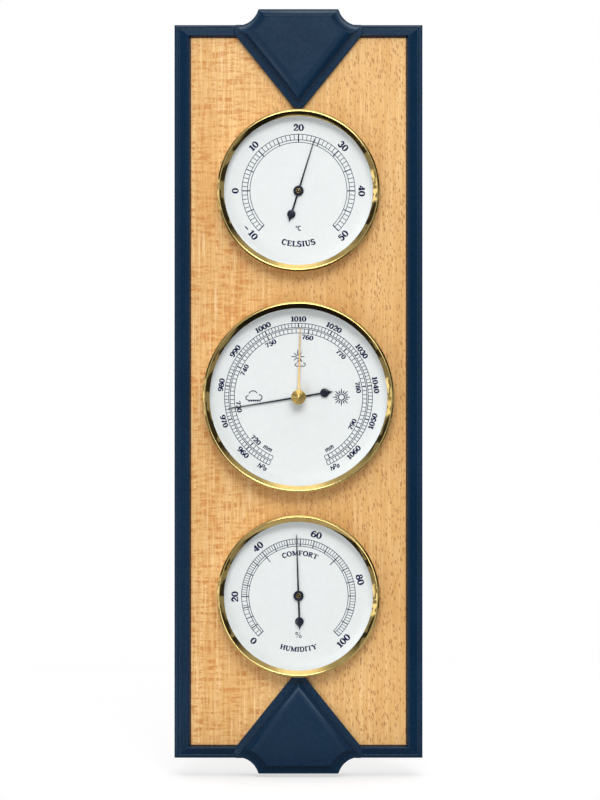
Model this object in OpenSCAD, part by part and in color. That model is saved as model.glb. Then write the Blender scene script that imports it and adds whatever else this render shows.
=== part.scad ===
// Wall weather station: a framed beech board that carries a dial thermometer,
// an aneroid barometer and a dial hygrometer one above the other.
// Every shape is drawn in the plane of the wall, with Z as the distance from the
// wall, and upright() then stands the whole object up. The origin is the centre
// of the round part of the hanging keyhole, on the wall.

/* [Frame] */
// Width over the side rails
frame_w = 130; // [124:1:150]
// Depth from the wall to the crest of the rails
frame_depth = 22; // [21:0.5:28]
// Width of a side rail seen from the front
side_rail_w = 8; // [7:0.5:11]
// Width of the top and bottom rails seen from the front
end_rail_w = 6; // [5.5:0.5:9]
// Height of the rail crest above the veneer
rail_rise = 3; // [2.5:0.1:4]
// How far each rail laps over the board
rail_lap = 2.5; // [1.5:0.1:3]
// Height of the hanging hole below the top of the frame
hang_drop = 28; // [26:1:34]

/* [Board] */
// Depth of the board's back inside the rails, which is the hanger's thickness
back_recess = 1.2; // [1:0.1:2]
// Thickness of the beech veneer
veneer_t = 0.6; // [0.5:0.1:1]
// Play between a case and its hole in the board
hole_play = 0.3; // [0.1:0.05:0.5]

/* [Keystones] */
// How far a keystone stands out past the frame
key_overhang = 8; // [6:0.5:9]
// Width of a keystone's straight end
key_end_w = 42; // [38:0.2:44]
// Width across the keystone block's side corners, before they are rounded
key_block_w = 65.4; // [62:0.2:68]
// Distance from the straight end to the side corners
key_shoulder = 8.6; // [8.2:0.1:10]
// Length of the block from its straight end to its point, before it is rounded
key_length = 49.2; // [46:0.1:51]
// Flat margin of the base round the block
key_margin = 3.4; // [2.6:0.1:4]
// Radius of the base's round corners
key_base_round = 4.3; // [3.8:0.1:5]
// Radius of the block's round point
key_tip_round = 2; // [1:0.1:2.5]
// Radius of the block's round side corners
key_side_round = 1.5; // [1:0.1:1.8]
// Radius of the block's round corners at the straight end
key_end_round = 0.8; // [0.4:0.1:1.2]
// Thickness of the base
key_base_t = 3.4; // [3.1:0.1:5]
// Height of the moulded block on the base
key_block_t = 4.2; // [3.5:0.1:6]
// Radius of the hollow at each corner of the straight end
key_cove_r = 11.5; // [10:0.1:13]
// Width of the moulding along the long sides
key_side_band = 6.5; // [5:0.1:7.5]
// Width of the moulding along the straight end
key_end_band = 4.2; // [3:0.1:5]
// Width of the moulding round the hollows
key_cove_band = 5.4; // [4:0.1:6.5]

/* [Instruments] */
// Outside radius of a small case
small_case_r = 37.5; // [36:0.5:40]
// Outside radius of the barometer case
large_case_r = 44; // [42:0.5:46]
// How far a small bezel reaches out past its case
small_reach = 5; // [3.5:0.5:7]
// How far the barometer's bezel reaches out past its case
large_reach = 6; // [3.5:0.5:8]
// Clear wood between the top keystone's point and the thermometer's bezel
top_gap = 0.4; // [0.3:0.1:8]
// Clear wood between the bezels of the thermometer and the barometer
upper_gap = 15.5; // [2:0.5:40]
// Clear wood between the bezels of the barometer and the hygrometer
lower_gap = 11.5; // [2:0.5:40]
// How far the hygrometer's bezel laps over the bottom keystone's point
point_lap = 1.6; // [0:0.1:3]
// Thickness of a case flange
flange_t = 1.5; // [1:0.1:2]
// Thickness of a dial
dial_t = 0.5; // [0.4:0.1:0.8]
// Space between dial and glass in the small instruments
small_room = 3.5; // [3:0.1:5]
// Space between dial and glass in the barometer
large_room = 4.5; // [4.4:0.1:6]
// Thickness of a glass
glass_t = 1.5; // [1:0.1:2]
// Height of the bezel crest above the glass
bezel_rise = 2.5; // [1.5:0.1:3.5]
// Thickness of the bezel metal
bezel_t = 0.5; // [0.4:0.05:0.7]
// Width of the bezel seen from the front
bezel_w = 3.6; // [3:0.1:4.5]
// Wall of a small case
small_wall = 1.5; // [1:0.1:2]
// Wall of the barometer case
large_wall = 1.5; // [1:0.1:2]
// Distance from the wall to the back of a small case
small_back = 5; // [4:0.5:6]
// Distance from the wall to the back of the barometer case
large_back = 3.4; // [3:0.1:4]

/* [Pointers] */
// Reading of the thermometer in degrees Celsius
thermo_reading = 23.8; // [-10:0.1:50]
// Angle of the hygrometer pointer from the top, clockwise
hygro_angle = -2; // [-135:1:135]
// Reading of the barometer in hectopascals
baro_reading = 973.2; // [953:0.1:1067]
// Angle of the set hand from the top, clockwise
set_angle = 1.4; // [-180:0.1:180]
// Length of the thermometer's pointer from the centre to the tip
thermo_needle = 28.6; // [24:0.1:33]
// Length of the hygrometer's pointer from the centre to the tip
hygro_needle = 32.1; // [24:0.1:33]
// Length of the thermometer pointer's tail
thermo_tail = 17.2; // [14:0.1:20]
// Length of the hygrometer pointer's tail
hygro_tail = 18.2; // [14:0.1:20]
// Length of the barometer pointer from the centre to the tip
large_needle = 37.4; // [32:0.1:42]
// Length of the barometer pointer's tail
large_tail = 18.6; // [15:0.1:22]
// Length of the set hand
set_length = 36.4; // [32:0.1:42]
// Radius of the set hand's knob
knob_r = 3.85; // [3:0.05:5]
// Height of the set hand's knob
knob_h = 5; // [3:0.1:7]
// Radius of a pointer hub
hub_r = 2.7; // [2:0.1:3.5]

/* [Movements] */
// Radius of the arbors
arbor_r = 0.6; // [0.5:0.05:0.8]
// Running clearance of a shaft in its hole
run = 0.03; // [0.02:0.01:0.08]
// Turns of the temperature and humidity coils
coil_turns = 6; // [4:1:7]
// Width of the coil strip
coil_w = 4; // [3:0.1:5]
// Radius of the aneroid capsule
capsule_r = 19; // [15:0.5:20]
// Thickness of the aneroid capsule
capsule_t = 4.6; // [4:0.1:5]
// Length of the rocking shaft's long arm
long_arm = 8; // [7:0.1:8.5]
// Length of the rocking shaft's short arm
short_arm = 4; // [3:0.1:4.5]
// Radius of the chain drum
drum_r = 0.8; // [0.75:0.05:1]

/* [Hanger] */
// Radius of the keyhole's round part
hang_r = 4.5; // [4:0.1:5]
// Width of the keyhole's slot
slot_w = 4.6; // [4.5:0.1:5.5]
// Length of the keyhole's slot above the round part's centre
slot_l = 8.5; // [7:0.1:9]
// Width of the hanger plate
hanger_w = 46; // [42:1:52]
// Radius of a wood screw's head
screw_head_r = 3.4; // [2.8:0.1:4]

/* [Hidden] */
$fn = 96;
touch = 0.05;

// Levels, as distances from the wall
front = frame_depth - rail_rise;
veneer_back = front - veneer_t;
flange_z = front + bezel_t;
dial_z = flange_z + flange_t;
dial_front = dial_z + dial_t;
pointer_z = dial_front + 0.8;
pointer_t = 0.45;
hub_t = 0.75;
hub_top = pointer_z + hub_t;

// Corners of the keystone's block, the rise of its sides, and the centre of the hollow
// between two corners. The base's round corners lie key_base_in in from the block's corners
key_corner = [key_block_w / 2, -key_shoulder];
key_end_corner = [key_end_w / 2, 0];
key_chord = key_corner - key_end_corner;
key_rise = (key_length - key_shoulder) / key_corner[0];
key_steep = sqrt(1 + pow(key_rise, 2));
cove = (key_corner + key_end_corner) / 2 + [-key_chord[1], key_chord[0]] / norm(key_chord)
    * sqrt(pow(key_cove_r, 2) - pow(norm(key_chord) / 2, 2));
key_base_in = 3.1;
key_base_tip = key_length - (key_base_round - key_margin) * key_steep;

// Heights above the hanging hole, and how far a keystone reaches in from the frame's edge,
// rounded up so that the instruments' centres lie on the layout's steps
layout_step = 0.1;
key_reach = ceil((key_base_tip + key_base_round - key_overhang) / layout_step) * layout_step;
frame_top = hang_drop;
small_r = small_case_r + small_reach;
large_r = large_case_r + large_reach;
thermo_y = frame_top - key_reach - top_gap - small_r;
baro_y = thermo_y - small_r - upper_gap - large_r;
hygro_y = baro_y - large_r - lower_gap - small_r;
frame_bottom = hygro_y - small_r + point_lap - key_reach;
frame_h = frame_top - frame_bottom;

// Degrees of pointer for each unit on the dials
angle_per_celsius = 4.5;
angle_per_hpa = 2.7;
mid_reading_celsius = 20;
mid_reading_hpa = 1010;
thermo_angle = (thermo_reading - mid_reading_celsius) * angle_per_celsius;
baro_angle = (baro_reading - mid_reading_hpa) * angle_per_hpa;

// An instrument is [bezel radius, case radius, case wall, back of the case, space under the glass]
small = [small_r, small_case_r, small_wall, small_back, small_room];
large = [large_r, large_case_r, large_wall, large_back, large_room];
function bezel_r(d) = d[0];
function case_r(d) = d[1];
function case_wall(d) = d[2];
function case_back(d) = d[3];
function glass_z(d) = dial_front + d[4];
function glass_front(d) = glass_z(d) + glass_t;
// Glass, spacer ring and dial end inside the bezel, and the flange a little further out
seat_in = 1.9;
flange_in = 1.3;
function seat_r(d) = bezel_r(d) - seat_in;
function flange_r(d) = bezel_r(d) - flange_in;
function lip_r(d) = bezel_r(d) - bezel_w;

// The rails' moulding as [share of the width from the outside, height from the wall]
quirk_depth = 0.5;
fillet_drop = 1.1;
rail_outer_round = 0.7;
rail_inner_round = 1.1;
function arc(cx, cy, rx, ry, a0, a1, n) =
    [for (i = [0:n]) let (a = a0 + (a1 - a0) * i / n) [cx + rx * cos(a), cy + ry * sin(a)]];
function rail_profile(w, wall) = let (
    fillet = frame_depth - fillet_drop,
    fillet_end = 0.26 * w,
    bead_start = 0.34 * w,
    crest = 0.72 * w
) concat(
    [[0, 0]],
    arc(rail_outer_round, fillet - rail_outer_round, rail_outer_round, rail_outer_round, 180, 90, 5),
    [[fillet_end, fillet], [fillet_end, fillet - quirk_depth], [bead_start, fillet - quirk_depth]],
    arc(crest, fillet - quirk_depth, crest - bead_start, fillet_drop + quirk_depth, 180, 90, 9),
    arc(w - rail_inner_round, frame_depth - rail_inner_round, rail_inner_round, rail_inner_round, 90, 0, 7),
    [[w, front], [wall, front], [wall, 0]]
);

// The keystone's mouldings. Heights are shares of the block's height, widths along the long
// sides are shares of their band: a low lip, a bead and a quirk, or a hollow up to the panel
lip_w = 0.4;
lip_up = 0.28;
bead_in = 0.7;
bead_up = 0.95;
quirk_in = 0.86;
quirk_up = 0.74;
hollow_turn = 72;

// Screws and pads on the back of the board
key_screw_x = 12;
key_screw_in = 16;
key_screw_r = 1.6;
key_screw_cover = 1.2;
screw_head_t = screw_head_r - key_screw_r;
hanger_screw_x = 17;
hanger_screw_l = 11;
hanger_head_t = 0.9;
hanger_rim = 3.2;
hanger_round = 3;
pocket_depth = 7;
pocket_play = 2;
bumper_in = 20;
bumper_up = 16;
bumper_r = 7;
slot_cut_w = 0.9;

// Small machine screws and the bosses that take them
boss_r = 3;
m2_r = 1.2;
m2_head_r = 2.2;
m2_head_t = 1.1;
m2_grip = 5;
m2_slot_depth = 0.5;

// Thermometer and hygrometer movements
small_floor_t = 1.2;
small_floor = small_back + small_floor_t;
vent_r = 2;
vent_in = 11.5;
vent_step_angle = 60;
adjuster_disc_r = 9;
adjuster_disc_t = 1;
adjuster_hub_r = 4;
adjuster_out = 0.6;
adjuster_z = small_floor + 0.1;
adjuster_front = adjuster_z + adjuster_disc_t;
pivot_r = arbor_r - 0.1;
coil_z = adjuster_front + 1.4;
coil_t = 0.25;
collet_r = arbor_r * 2;
post_r = 0.6;
post_at = 8;
bridge_screw_x = 20;
bridge_t = 1;
bridge_w = 7;
bridge_hub_r = 5;
bridge_drop = 4.5;
bridge_z = dial_z - bridge_drop;

// Barometer movement
large_floor_t = 1.4;
large_floor = large_back + large_floor_t;
large_vent_in = 6;
plate_z = large_floor + 1;
plate_t = 1.2;
plate_in = 10;
plate_r = large_case_r - plate_in;
plate_front = plate_z + plate_t;
plate_screw_angles = [40, 140, 235];
plate_screw_in = 4;
plate_screw_r = plate_r - plate_screw_in;
capsule_z = plate_front + 0.5;
capsule_top = capsule_z + capsule_t;
capsule_stud_r = 3;
capsule_post_r = 1.2;
capsule_rim_t = 0.8;
capsule_rim_w = 0.6;
capsule_slope = 0.9;
capsule_wave = 0.6;
capsule_waves = 4;
spring_z = capsule_top + 1.2;
spring_t = 0.7;
spring_tip_y = 4;
spring_tip_w = 8;
bracket_in = 1;
bracket_y = bracket_in - plate_r;
bracket_l = 9;
bracket_w = 14;
adjust_r = 1.5;
adjust_head_r = 3;
adjust_play = 0.1;
adjust_y = bracket_y + bracket_l / 2;
adjust_grip = 2.8;
strap_z = spring_z + spring_t + 0.8;
strap_t = 0.9;
strap_w = 8;
leg_x = 24;
leg_t = 2;
pillar_x = 10;
pillar_r = 1.6;
pillar_screw_r = 0.8;
drum_z = strap_z + strap_t + 0.3;
drum_t = 1;
hairspring_z = drum_z + drum_t + 0.3;
hairspring_w = 0.5;
hairspring_t = 0.16;
hairspring_turns = 4;
hairspring_r = 6;
hairspring_hub = 0.95;
stud_r = 0.5;
cock_z = hairspring_z + hairspring_w + 0.3;
cock_t = 0.8;
cock_w = 6;
rocker_y = 25;
rocker_z = drum_z + drum_t / 2 - long_arm;
rocker_half = 9;
rocker_r = 0.65;
rocker_window = [12, 12.5];
ear_x = 7.5;
ear_t = 1.2;
ear_w = 6;
ear_over = 2;
arm_t = 0.8;
arm_over = 0.5;
short_arm_w = 1.4;
short_arm_over = 0.8;
chain_r = 0.22;
chain_x = -drum_r - chain_r - touch;
lever_x = 1.8;
lever_w = 1.6;
pin_r = 0.5;
pin_y = rocker_y + short_arm;
// Degrees that the rocking shaft turns for each degree of the pointer
rocker_ratio = (drum_r + chain_r) / long_arm;
rocker_angle = baro_angle * rocker_ratio;

// Pointers: a tapered needle and a drop-shaped tail
needle_hub_w = 0.9;
needle_tip_w = 0.35;
needle_point = 0.6;
small_drop_r = 2.2;
large_drop_r = 2.4;
drop_l = 2.35;
cap_r = 1.3;
cap_t = 0.45;
pointer_fit = 0.02;

// Set hand, under the glass, and the shaft that carries it through the glass
shaft_r = 1.7;
hand_z = glass_z(large) - 1.6;
hand_t = 0.4;
hand_hub_r = 3;
hand_w = 1.3;
hand_tip_w = 0.6;
washer_r = 3.2;
washer_play = 0.1;

navy = [0.09, 0.16, 0.27];
beech = [0.87, 0.70, 0.46];
fibreboard = [0.62, 0.50, 0.36];
brass = [0.80, 0.64, 0.25];
steel = [0.70, 0.71, 0.73];
black = [0.08, 0.08, 0.09];
white = [0.94, 0.95, 0.96];
clear = [0.9, 0.95, 1, 0.3];
capsule_metal = [0.75, 0.68, 0.45];

// Stands a drawing on the wall plane up, so that its Z points to the front
module upright() rotate([90, 0, 0]) children();

// A ring or disc between two distances from the wall
module disc(r, z0, z1, hole = 0) translate([0, 0, z0]) difference() {
    cylinder(r = r, h = z1 - z0);
    if (hole > 0) translate([0, 0, -1]) cylinder(r = hole, h = z1 - z0 + 2);
}

// One rail along Y, with its outside face at x = 0, its mitred ends and its seat notches
module rail(length, w, wall, other_w) intersection() {
    translate([0, length, 0]) rotate([90, 0, 0]) linear_extrude(height = length)
        polygon(rail_profile(w, wall));
    linear_extrude(height = frame_depth + 1) polygon([
        [0, 0], [w, other_w], [w, length - other_w], [0, length]
    ]);
}

// Notches in the rails that seat the two keystones
module key_notch() translate([0, 0, front]) linear_extrude(height = frame_depth) key_base_outline(touch);
module without_keystones() difference() {
    children();
    keystone_at_top() key_notch();
    keystone_at_bottom() key_notch();
}

module left_rail() color(navy) upright() without_keystones()
    translate([-frame_w / 2, frame_bottom, 0]) rail(frame_h, side_rail_w, side_rail_w - rail_lap, end_rail_w);

module right_rail() color(navy) upright() without_keystones()
    translate([frame_w / 2, frame_bottom, 0]) mirror([1, 0, 0])
        rail(frame_h, side_rail_w, side_rail_w - rail_lap, end_rail_w);

module top_rail() color(navy) upright() without_keystones()
    translate([-frame_w / 2, frame_top, 0]) rotate([0, 0, -90])
        rail(frame_w, end_rail_w, end_rail_w - rail_lap, side_rail_w);

module bottom_rail() color(navy) upright() without_keystones()
    translate([frame_w / 2, frame_bottom, 0]) rotate([0, 0, 90])
        rail(frame_w, end_rail_w, end_rail_w - rail_lap, side_rail_w);

// The board's outline, which lies inside the rails' walls
module board_outline(gap = 0) translate([
    -frame_w / 2 + side_rail_w - rail_lap + gap,
    frame_bottom + end_rail_w - rail_lap + gap
]) square([
    frame_w - 2 * (side_rail_w - rail_lap + gap),
    frame_h - 2 * (end_rail_w - rail_lap + gap)
]);

// Something that stands at one instrument's centre
module at(y) translate([0, y, 0]) children();

// The holes that the three cases sit in
module case_holes() {
    at(thermo_y) disc(case_r(small) + hole_play, 0, frame_depth);
    at(baro_y) disc(case_r(large) + hole_play, 0, frame_depth);
    at(hygro_y) disc(case_r(small) + hole_play, 0, frame_depth);
}

module board_core() color(fibreboard) upright() difference() {
    translate([0, 0, back_recess]) linear_extrude(height = veneer_back - back_recess) board_outline();
    case_holes();
    hanger_pocket();
    key_screw_places() wood_screw(touch);
    hanger_screw_places() disc(m2_r + touch, 0, hanger_screw_l + touch);
}

module beech_veneer() color(beech) upright() difference() {
    translate([0, 0, veneer_back]) linear_extrude(height = veneer_t) board_outline();
    case_holes();
    key_screw_places() wood_screw(touch);
}

// Room in the board for the head of the wall screw
module hanger_pocket() linear_extrude(height = back_recess + pocket_depth) {
    circle(r = hang_r + pocket_play);
    translate([-hang_r, 0]) square([2 * hang_r, slot_l]);
    translate([0, slot_l]) circle(r = hang_r);
}

// A keystone lies with its straight end at y = 0 and its point at -key_length
module keystone_at_top() translate([0, frame_top + key_overhang, 0]) children();
module keystone_at_bottom() translate([0, frame_bottom - key_overhang, 0]) mirror([0, 1, 0]) children();

// Centre of a circle of radius r that touches the block's right side and its hollow
function side_round(r) = let (
    tip = -key_length + r * key_steep,
    a = pow(key_steep, 2),
    b = key_rise * (tip - cove[1]) - cove[0],
    c = pow(cove[0], 2) + pow(tip - cove[1], 2) - pow(key_cove_r + r, 2),
    x = (-b - sqrt(b * b - a * c)) / a
) [x, tip + key_rise * x];

// The same for the straight end and its hollow
function end_round(r) = [cove[0] - sqrt(pow(key_cove_r + r, 2) - pow(cove[1] + r, 2)), -r];

// What rounds a corner off to a circle of radius r about a centre, between two directions
module corner_waste(centre, r, from, to) {
    reach = 4 * r;
    difference() {
        polygon([
            centre,
            centre + reach * from / norm(from),
            centre + reach * (from / norm(from) + to / norm(to)),
            centre + reach * to / norm(to)
        ]);
        translate(centre) circle(r = r);
    }
}

// The block's outline, with its corners rounded
module key_outline() {
    far = key_corner[0] + 0.5;
    tip = [0, -key_length + key_tip_round * key_steep];
    side = side_round(key_side_round);
    end = end_round(key_end_round);
    difference() {
        polygon([
            [0, -key_length],
            [far, -key_length + key_rise * far],
            [far, 0],
            [-far, 0],
            [-far, -key_length + key_rise * far]
        ]);
        corner_waste(tip, key_tip_round, [key_rise, -1], [-key_rise, -1]);
        for (turned = [0, 1]) mirror([turned, 0]) {
            translate(cove) circle(r = key_cove_r);
            corner_waste(side, key_side_round, [key_rise, -1], cove - side);
            corner_waste(end, key_end_round, [0, 1], cove - end);
        }
    }
}

// A triangle with a circle of radius r about each corner
module round_triangle(corners, r) {
    polygon([for (i = [0:2]) let (
        a = corners[i],
        b = corners[(i + 1) % 3],
        way = (b - a) / norm(b - a)
    ) each [a + r * [way[1], -way[0]], b + r * [way[1], -way[0]]]]);
    for (c = corners) translate(c) circle(r = r);
}

// The base's outline: a margin along the block's sides, cut off level with the frame
module key_base_outline(grow = 0) {
    x = key_corner[0] - key_base_in;
    y = -key_base_tip + key_rise * x;
    key_outline();
    difference() {
        round_triangle([[-x, y], [0, -key_base_tip], [x, y]], key_base_round + grow);
        translate([-key_block_w, -key_overhang]) square([2 * key_block_w, key_overhang]);
    }
}

// What the moulding along a long side takes off, from the edge at u = 0 inwards: down to a lip,
// over a bead and down into a quirk
module side_cutter(steps, inner_steps) polygon(concat(
    [[-1, key_block_t + 1], [-1, lip_up * key_block_t], [lip_w, lip_up * key_block_t]],
    [for (i = [1:steps]) let (a = 180 - 90 * i / steps, bead = bead_in * key_side_band) [
        bead + (bead - lip_w) * cos(a),
        (lip_up + (bead_up - lip_up) * sin(a)) * key_block_t
    ]],
    [for (i = [1:inner_steps]) let (a = 90 - 90 * i / inner_steps) [
        (bead_in + (quirk_in - bead_in) * cos(a)) * key_side_band,
        (quirk_up + (bead_up - quirk_up) * sin(a)) * key_block_t
    ]],
    [[key_side_band, quirk_up * key_block_t], [key_side_band, key_block_t + 1]]
));

// The same at the straight end and the hollows: from the lip a hollow rises to the panel.
// Cutters that meet differ in steps, so that their facets' edges cross and share no point
module hollow_cutter(band, steps) polygon(concat(
    [[-1, key_block_t + 1], [-1, lip_up * key_block_t], [lip_w, lip_up * key_block_t]],
    [for (i = [1:steps]) let (a = hollow_turn * i / steps) [
        lip_w + (band - lip_w) * sin(a) / sin(hollow_turn),
        (lip_up + (1 - lip_up) * (1 - cos(a)) / (1 - cos(hollow_turn))) * key_block_t
    ]],
    [[band, key_block_t + 1]]
));

// The moulded block with its raised panel
module key_block() {
    lean = atan(key_rise);
    difference() {
        linear_extrude(height = key_block_t) key_outline();
        translate([-key_block_w / 2, 0, 0]) rotate([90, 0, 90]) linear_extrude(height = key_block_w)
            mirror([1, 0]) hollow_cutter(key_end_band, 6);
        for (side = [0, 1]) mirror([side, 0, 0]) {
            translate([0, -key_length, 0]) rotate([0, 0, lean]) translate([-key_length, 0, 0])
                rotate([90, 0, 90]) linear_extrude(height = 3 * key_length) side_cutter(8, 4);
            translate([cove[0], cove[1], 0]) rotate_extrude() translate([key_cove_r, 0])
                hollow_cutter(key_cove_band, 7);
        }
    }
}

module keystone() {
    linear_extrude(height = key_base_t) key_base_outline();
    translate([0, 0, key_base_t]) key_block();
}

// A keystone keeps clear of the bezel next to it, and its screws reach into it from behind
module fitted_keystone(y) difference() {
    children();
    at(y) disc(bezel_r(small) + hole_play, veneer_back, 2 * frame_depth);
    key_screw_places() wood_screw(touch);
}

module top_keystone() color(navy) upright()
    fitted_keystone(thermo_y) keystone_at_top() translate([0, 0, front]) keystone();

module bottom_keystone() color(navy) upright()
    fitted_keystone(hygro_y) keystone_at_bottom() translate([0, 0, front]) keystone();

// Two wood screws hold each keystone from the back of the board
module key_screw_places() for (x = [-1, 1]) {
    keystone_at_top() translate([x * key_screw_x, -key_screw_in, 0]) children();
    keystone_at_bottom() translate([x * key_screw_x, -key_screw_in, 0]) children();
}

module wood_screw(grow = 0) {
    tip = front + key_base_t - key_screw_cover;
    translate([0, 0, back_recess])
        cylinder(r1 = screw_head_r + grow, r2 = key_screw_r + grow, h = screw_head_t);
    disc(key_screw_r + grow, back_recess, tip + grow);
}

module keystone_screws() color(steel) upright() key_screw_places() difference() {
    wood_screw();
    screw_slot(back_recess, screw_head_r, 0.8);
}

// A screwdriver slot across a head whose outer face lies at z and looks to the wall
module screw_slot(z, r, depth) translate([-r - 1, -slot_cut_w / 2, z - 1])
    cube([2 * r + 2, slot_cut_w, depth + 1]);

// The same slot in a head that looks to the front
module front_slot(z, r, depth) translate([0, 0, z]) mirror([0, 0, 1]) screw_slot(0, r, depth);

module hanger_screw_places() for (x = [-1, 1]) translate([x * hanger_screw_x, 0, 0]) children();

// The hanger plate, with a rim of its own all round the keyhole
module hanger_plate() color(steel) upright() difference() {
    low = -hang_r - hanger_rim;
    high = slot_l + slot_w / 2 + hanger_rim;
    linear_extrude(height = back_recess) difference() {
        translate([0, (low + high) / 2]) round_plate(hanger_w, high - low, hanger_round);
        circle(r = hang_r);
        translate([-slot_w / 2, 0]) square([slot_w, slot_l]);
        translate([0, slot_l]) circle(r = slot_w / 2);
    }
    hanger_screw_places() hanger_screw(touch);
}

// A plate with round corners
module round_plate(w, h, r) {
    square([w - 2 * r, h], center = true);
    square([w, h - 2 * r], center = true);
    for (x = [-1, 1], y = [-1, 1]) translate([x * (w / 2 - r), y * (h / 2 - r)]) circle(r = r);
}

module hanger_screw(grow = 0) {
    cylinder(r1 = m2_r + hanger_head_t + grow, r2 = m2_r + grow, h = hanger_head_t);
    disc(m2_r + grow, 0, hanger_screw_l);
}

module hanger_screws() color(steel) upright() hanger_screw_places() difference() {
    hanger_screw();
    screw_slot(0, m2_r + hanger_head_t, 0.4);
}

module wall_bumpers() color(black) upright() for (x = [-1, 1])
    translate([x * (frame_w / 2 - bumper_in), frame_bottom + bumper_up, 0]) disc(bumper_r, 0, back_recess);

// A case: a cup with a flange
module case_cup(d, floor_z) difference() {
    union() {
        disc(case_r(d), case_back(d), flange_z + touch);
        disc(flange_r(d), flange_z, dial_z);
    }
    disc(case_r(d) - case_wall(d), floor_z, dial_z + 1);
}

module vents(r) for (a = [0:vent_step_angle:359]) rotate([0, 0, a + vent_step_angle / 2]) translate([r, 0, 0])
    disc(vent_r, 0, flange_z);

module bridge_screw_places() for (x = [-1, 1]) translate([x * bridge_screw_x, 0, 0]) children();

module small_case() difference() {
    union() {
        case_cup(small, small_floor);
        bridge_screw_places() disc(boss_r, small_floor - touch, bridge_z);
    }
    disc(adjuster_hub_r + run, 0, dial_z);
    vents(small_case_r - vent_in);
    bridge_screw_places() disc(m2_r + touch, bridge_z - m2_grip - 1, bridge_z + 1);
}

// A spun bezel: a steep outside, a crest, a bowed funnel down to the glass and a fold behind the flange
crest_in = 1.1;
shoulder_drop = 2.2;
funnel_bow = 0.35;
funnel_under = 0.9;
module bezel(d) {
    r = bezel_r(d);
    crest = glass_front(d) + bezel_rise;
    crest_r = r - crest_in;
    shoulder = crest - shoulder_drop;
    funnel_h = bezel_rise - bezel_t;
    fold_r = flange_r(d) - 1;
    rotate_extrude() polygon(concat(
        [[r, front]],
        arc(crest_r, shoulder, crest_in, shoulder_drop, 0, 90, 8),
        [for (i = [1:7]) let (s = i / 8, fall = (1 + funnel_bow) * s - funnel_bow * s * s)
            [crest_r - s * (crest_r - lip_r(d)), crest - funnel_h * fall]],
        [[lip_r(d), glass_front(d) + bezel_t], [lip_r(d), glass_front(d)]],
        [[lip_r(d) + funnel_under, glass_front(d)], [crest_r, crest - bezel_t - 0.7]],
        [[r - bezel_t, shoulder - 0.4], [r - bezel_t, flange_z], [fold_r, flange_z], [fold_r, front]]
    ));
}

module glass(d, hole = 0) disc(seat_r(d), glass_z(d), glass_front(d), hole);
module spacer_ring(d) disc(seat_r(d), dial_front, glass_z(d), lip_r(d) + touch);
module dial(d) disc(seat_r(d), dial_z, dial_front, arbor_r + 0.9);

// The rear adjuster: a slotted hub in the case back that carries the coil's outer post
module small_adjuster() difference() {
    union() {
        disc(adjuster_hub_r, small_back - adjuster_out, adjuster_z + touch);
        disc(adjuster_disc_r, adjuster_z, adjuster_front);
        translate([post_at, 0, 0]) disc(post_r, adjuster_z, coil_z + coil_w + 1);
    }
    disc(pivot_r + run, small_floor - 0.4, dial_z);
    screw_slot(small_back - adjuster_out, adjuster_hub_r, 0.9);
}

// A flat spiral strip between two radii, drawn as its outer side and its inner side reversed
turn_steps = 20;
function spiral(r0, r1, turns) = let (n = turn_steps * turns)
    [for (i = [0:n]) let (a = 360 * i / turn_steps, r = r0 + (r1 - r0) * i / n) [r * cos(a), r * sin(a)]];
function reversed(v) = [for (i = [len(v) - 1:-1:0]) v[i]];
module spiral_strip(r0, r1, turns, t, z, w) translate([0, 0, z]) linear_extrude(height = w) polygon(concat(
    spiral(r0 + t / 2, r1 + t / 2, turns),
    reversed(spiral(r0 - t / 2, r1 - t / 2, turns))
));

module small_coil() spiral_strip(collet_r + coil_t / 2 + touch, post_at - post_r - coil_t / 2 - touch,
    coil_turns, coil_t, coil_z, coil_w);

module small_arbor() {
    disc(pivot_r, small_floor - 0.2, adjuster_front + 0.3);
    disc(arbor_r, adjuster_front + 0.2, hub_top);
    disc(collet_r, coil_z - 0.2, coil_z + coil_w + 0.2);
}

module small_bridge() difference() {
    translate([0, 0, bridge_z]) linear_extrude(height = bridge_t) {
        round_plate(2 * (bridge_screw_x + boss_r + 1), bridge_w, boss_r);
        circle(r = bridge_hub_r);
    }
    disc(arbor_r + run, 0, dial_z);
    bridge_screw_places() disc(m2_r + touch, 0, dial_z);
}

// A machine screw whose head rests at z and looks to the front
module m2_screw(z, grip) difference() {
    union() {
        disc(m2_r, z - grip, z + touch);
        disc(m2_head_r, z, z + m2_head_t);
    }
    front_slot(z + m2_head_t, m2_head_r, m2_slot_depth);
}

module small_bridge_screws() bridge_screw_places() m2_screw(bridge_z + bridge_t, m2_grip);

// A pointer at twelve o'clock
module pointer_shape(length, tail, drop_r) {
    drop_y = drop_l * drop_r - tail;
    circle(r = hub_r);
    polygon([
        [-needle_hub_w / 2, drop_y], [needle_hub_w / 2, drop_y],
        [needle_tip_w / 2, length - needle_point], [0, length], [-needle_tip_w / 2, length - needle_point]
    ]);
    translate([0, drop_y]) circle(r = drop_r);
    translate([0, drop_y]) polygon(drop_r * [
        [-0.97, -0.24], [-0.35, -1.3], [0, -drop_l], [0.35, -1.3], [0.97, -0.24]
    ]);
}

module pointer(length, tail, drop_r, angle) rotate([0, 0, -angle]) difference() {
    union() {
        translate([0, 0, pointer_z]) linear_extrude(height = pointer_t) pointer_shape(length, tail, drop_r);
        disc(hub_r - pointer_t, pointer_z, hub_top);
    }
    disc(arbor_r + pointer_fit, 0, hub_top + 1);
}

module pointer_cap() disc(cap_r, hub_top, hub_top + cap_t);

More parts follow.
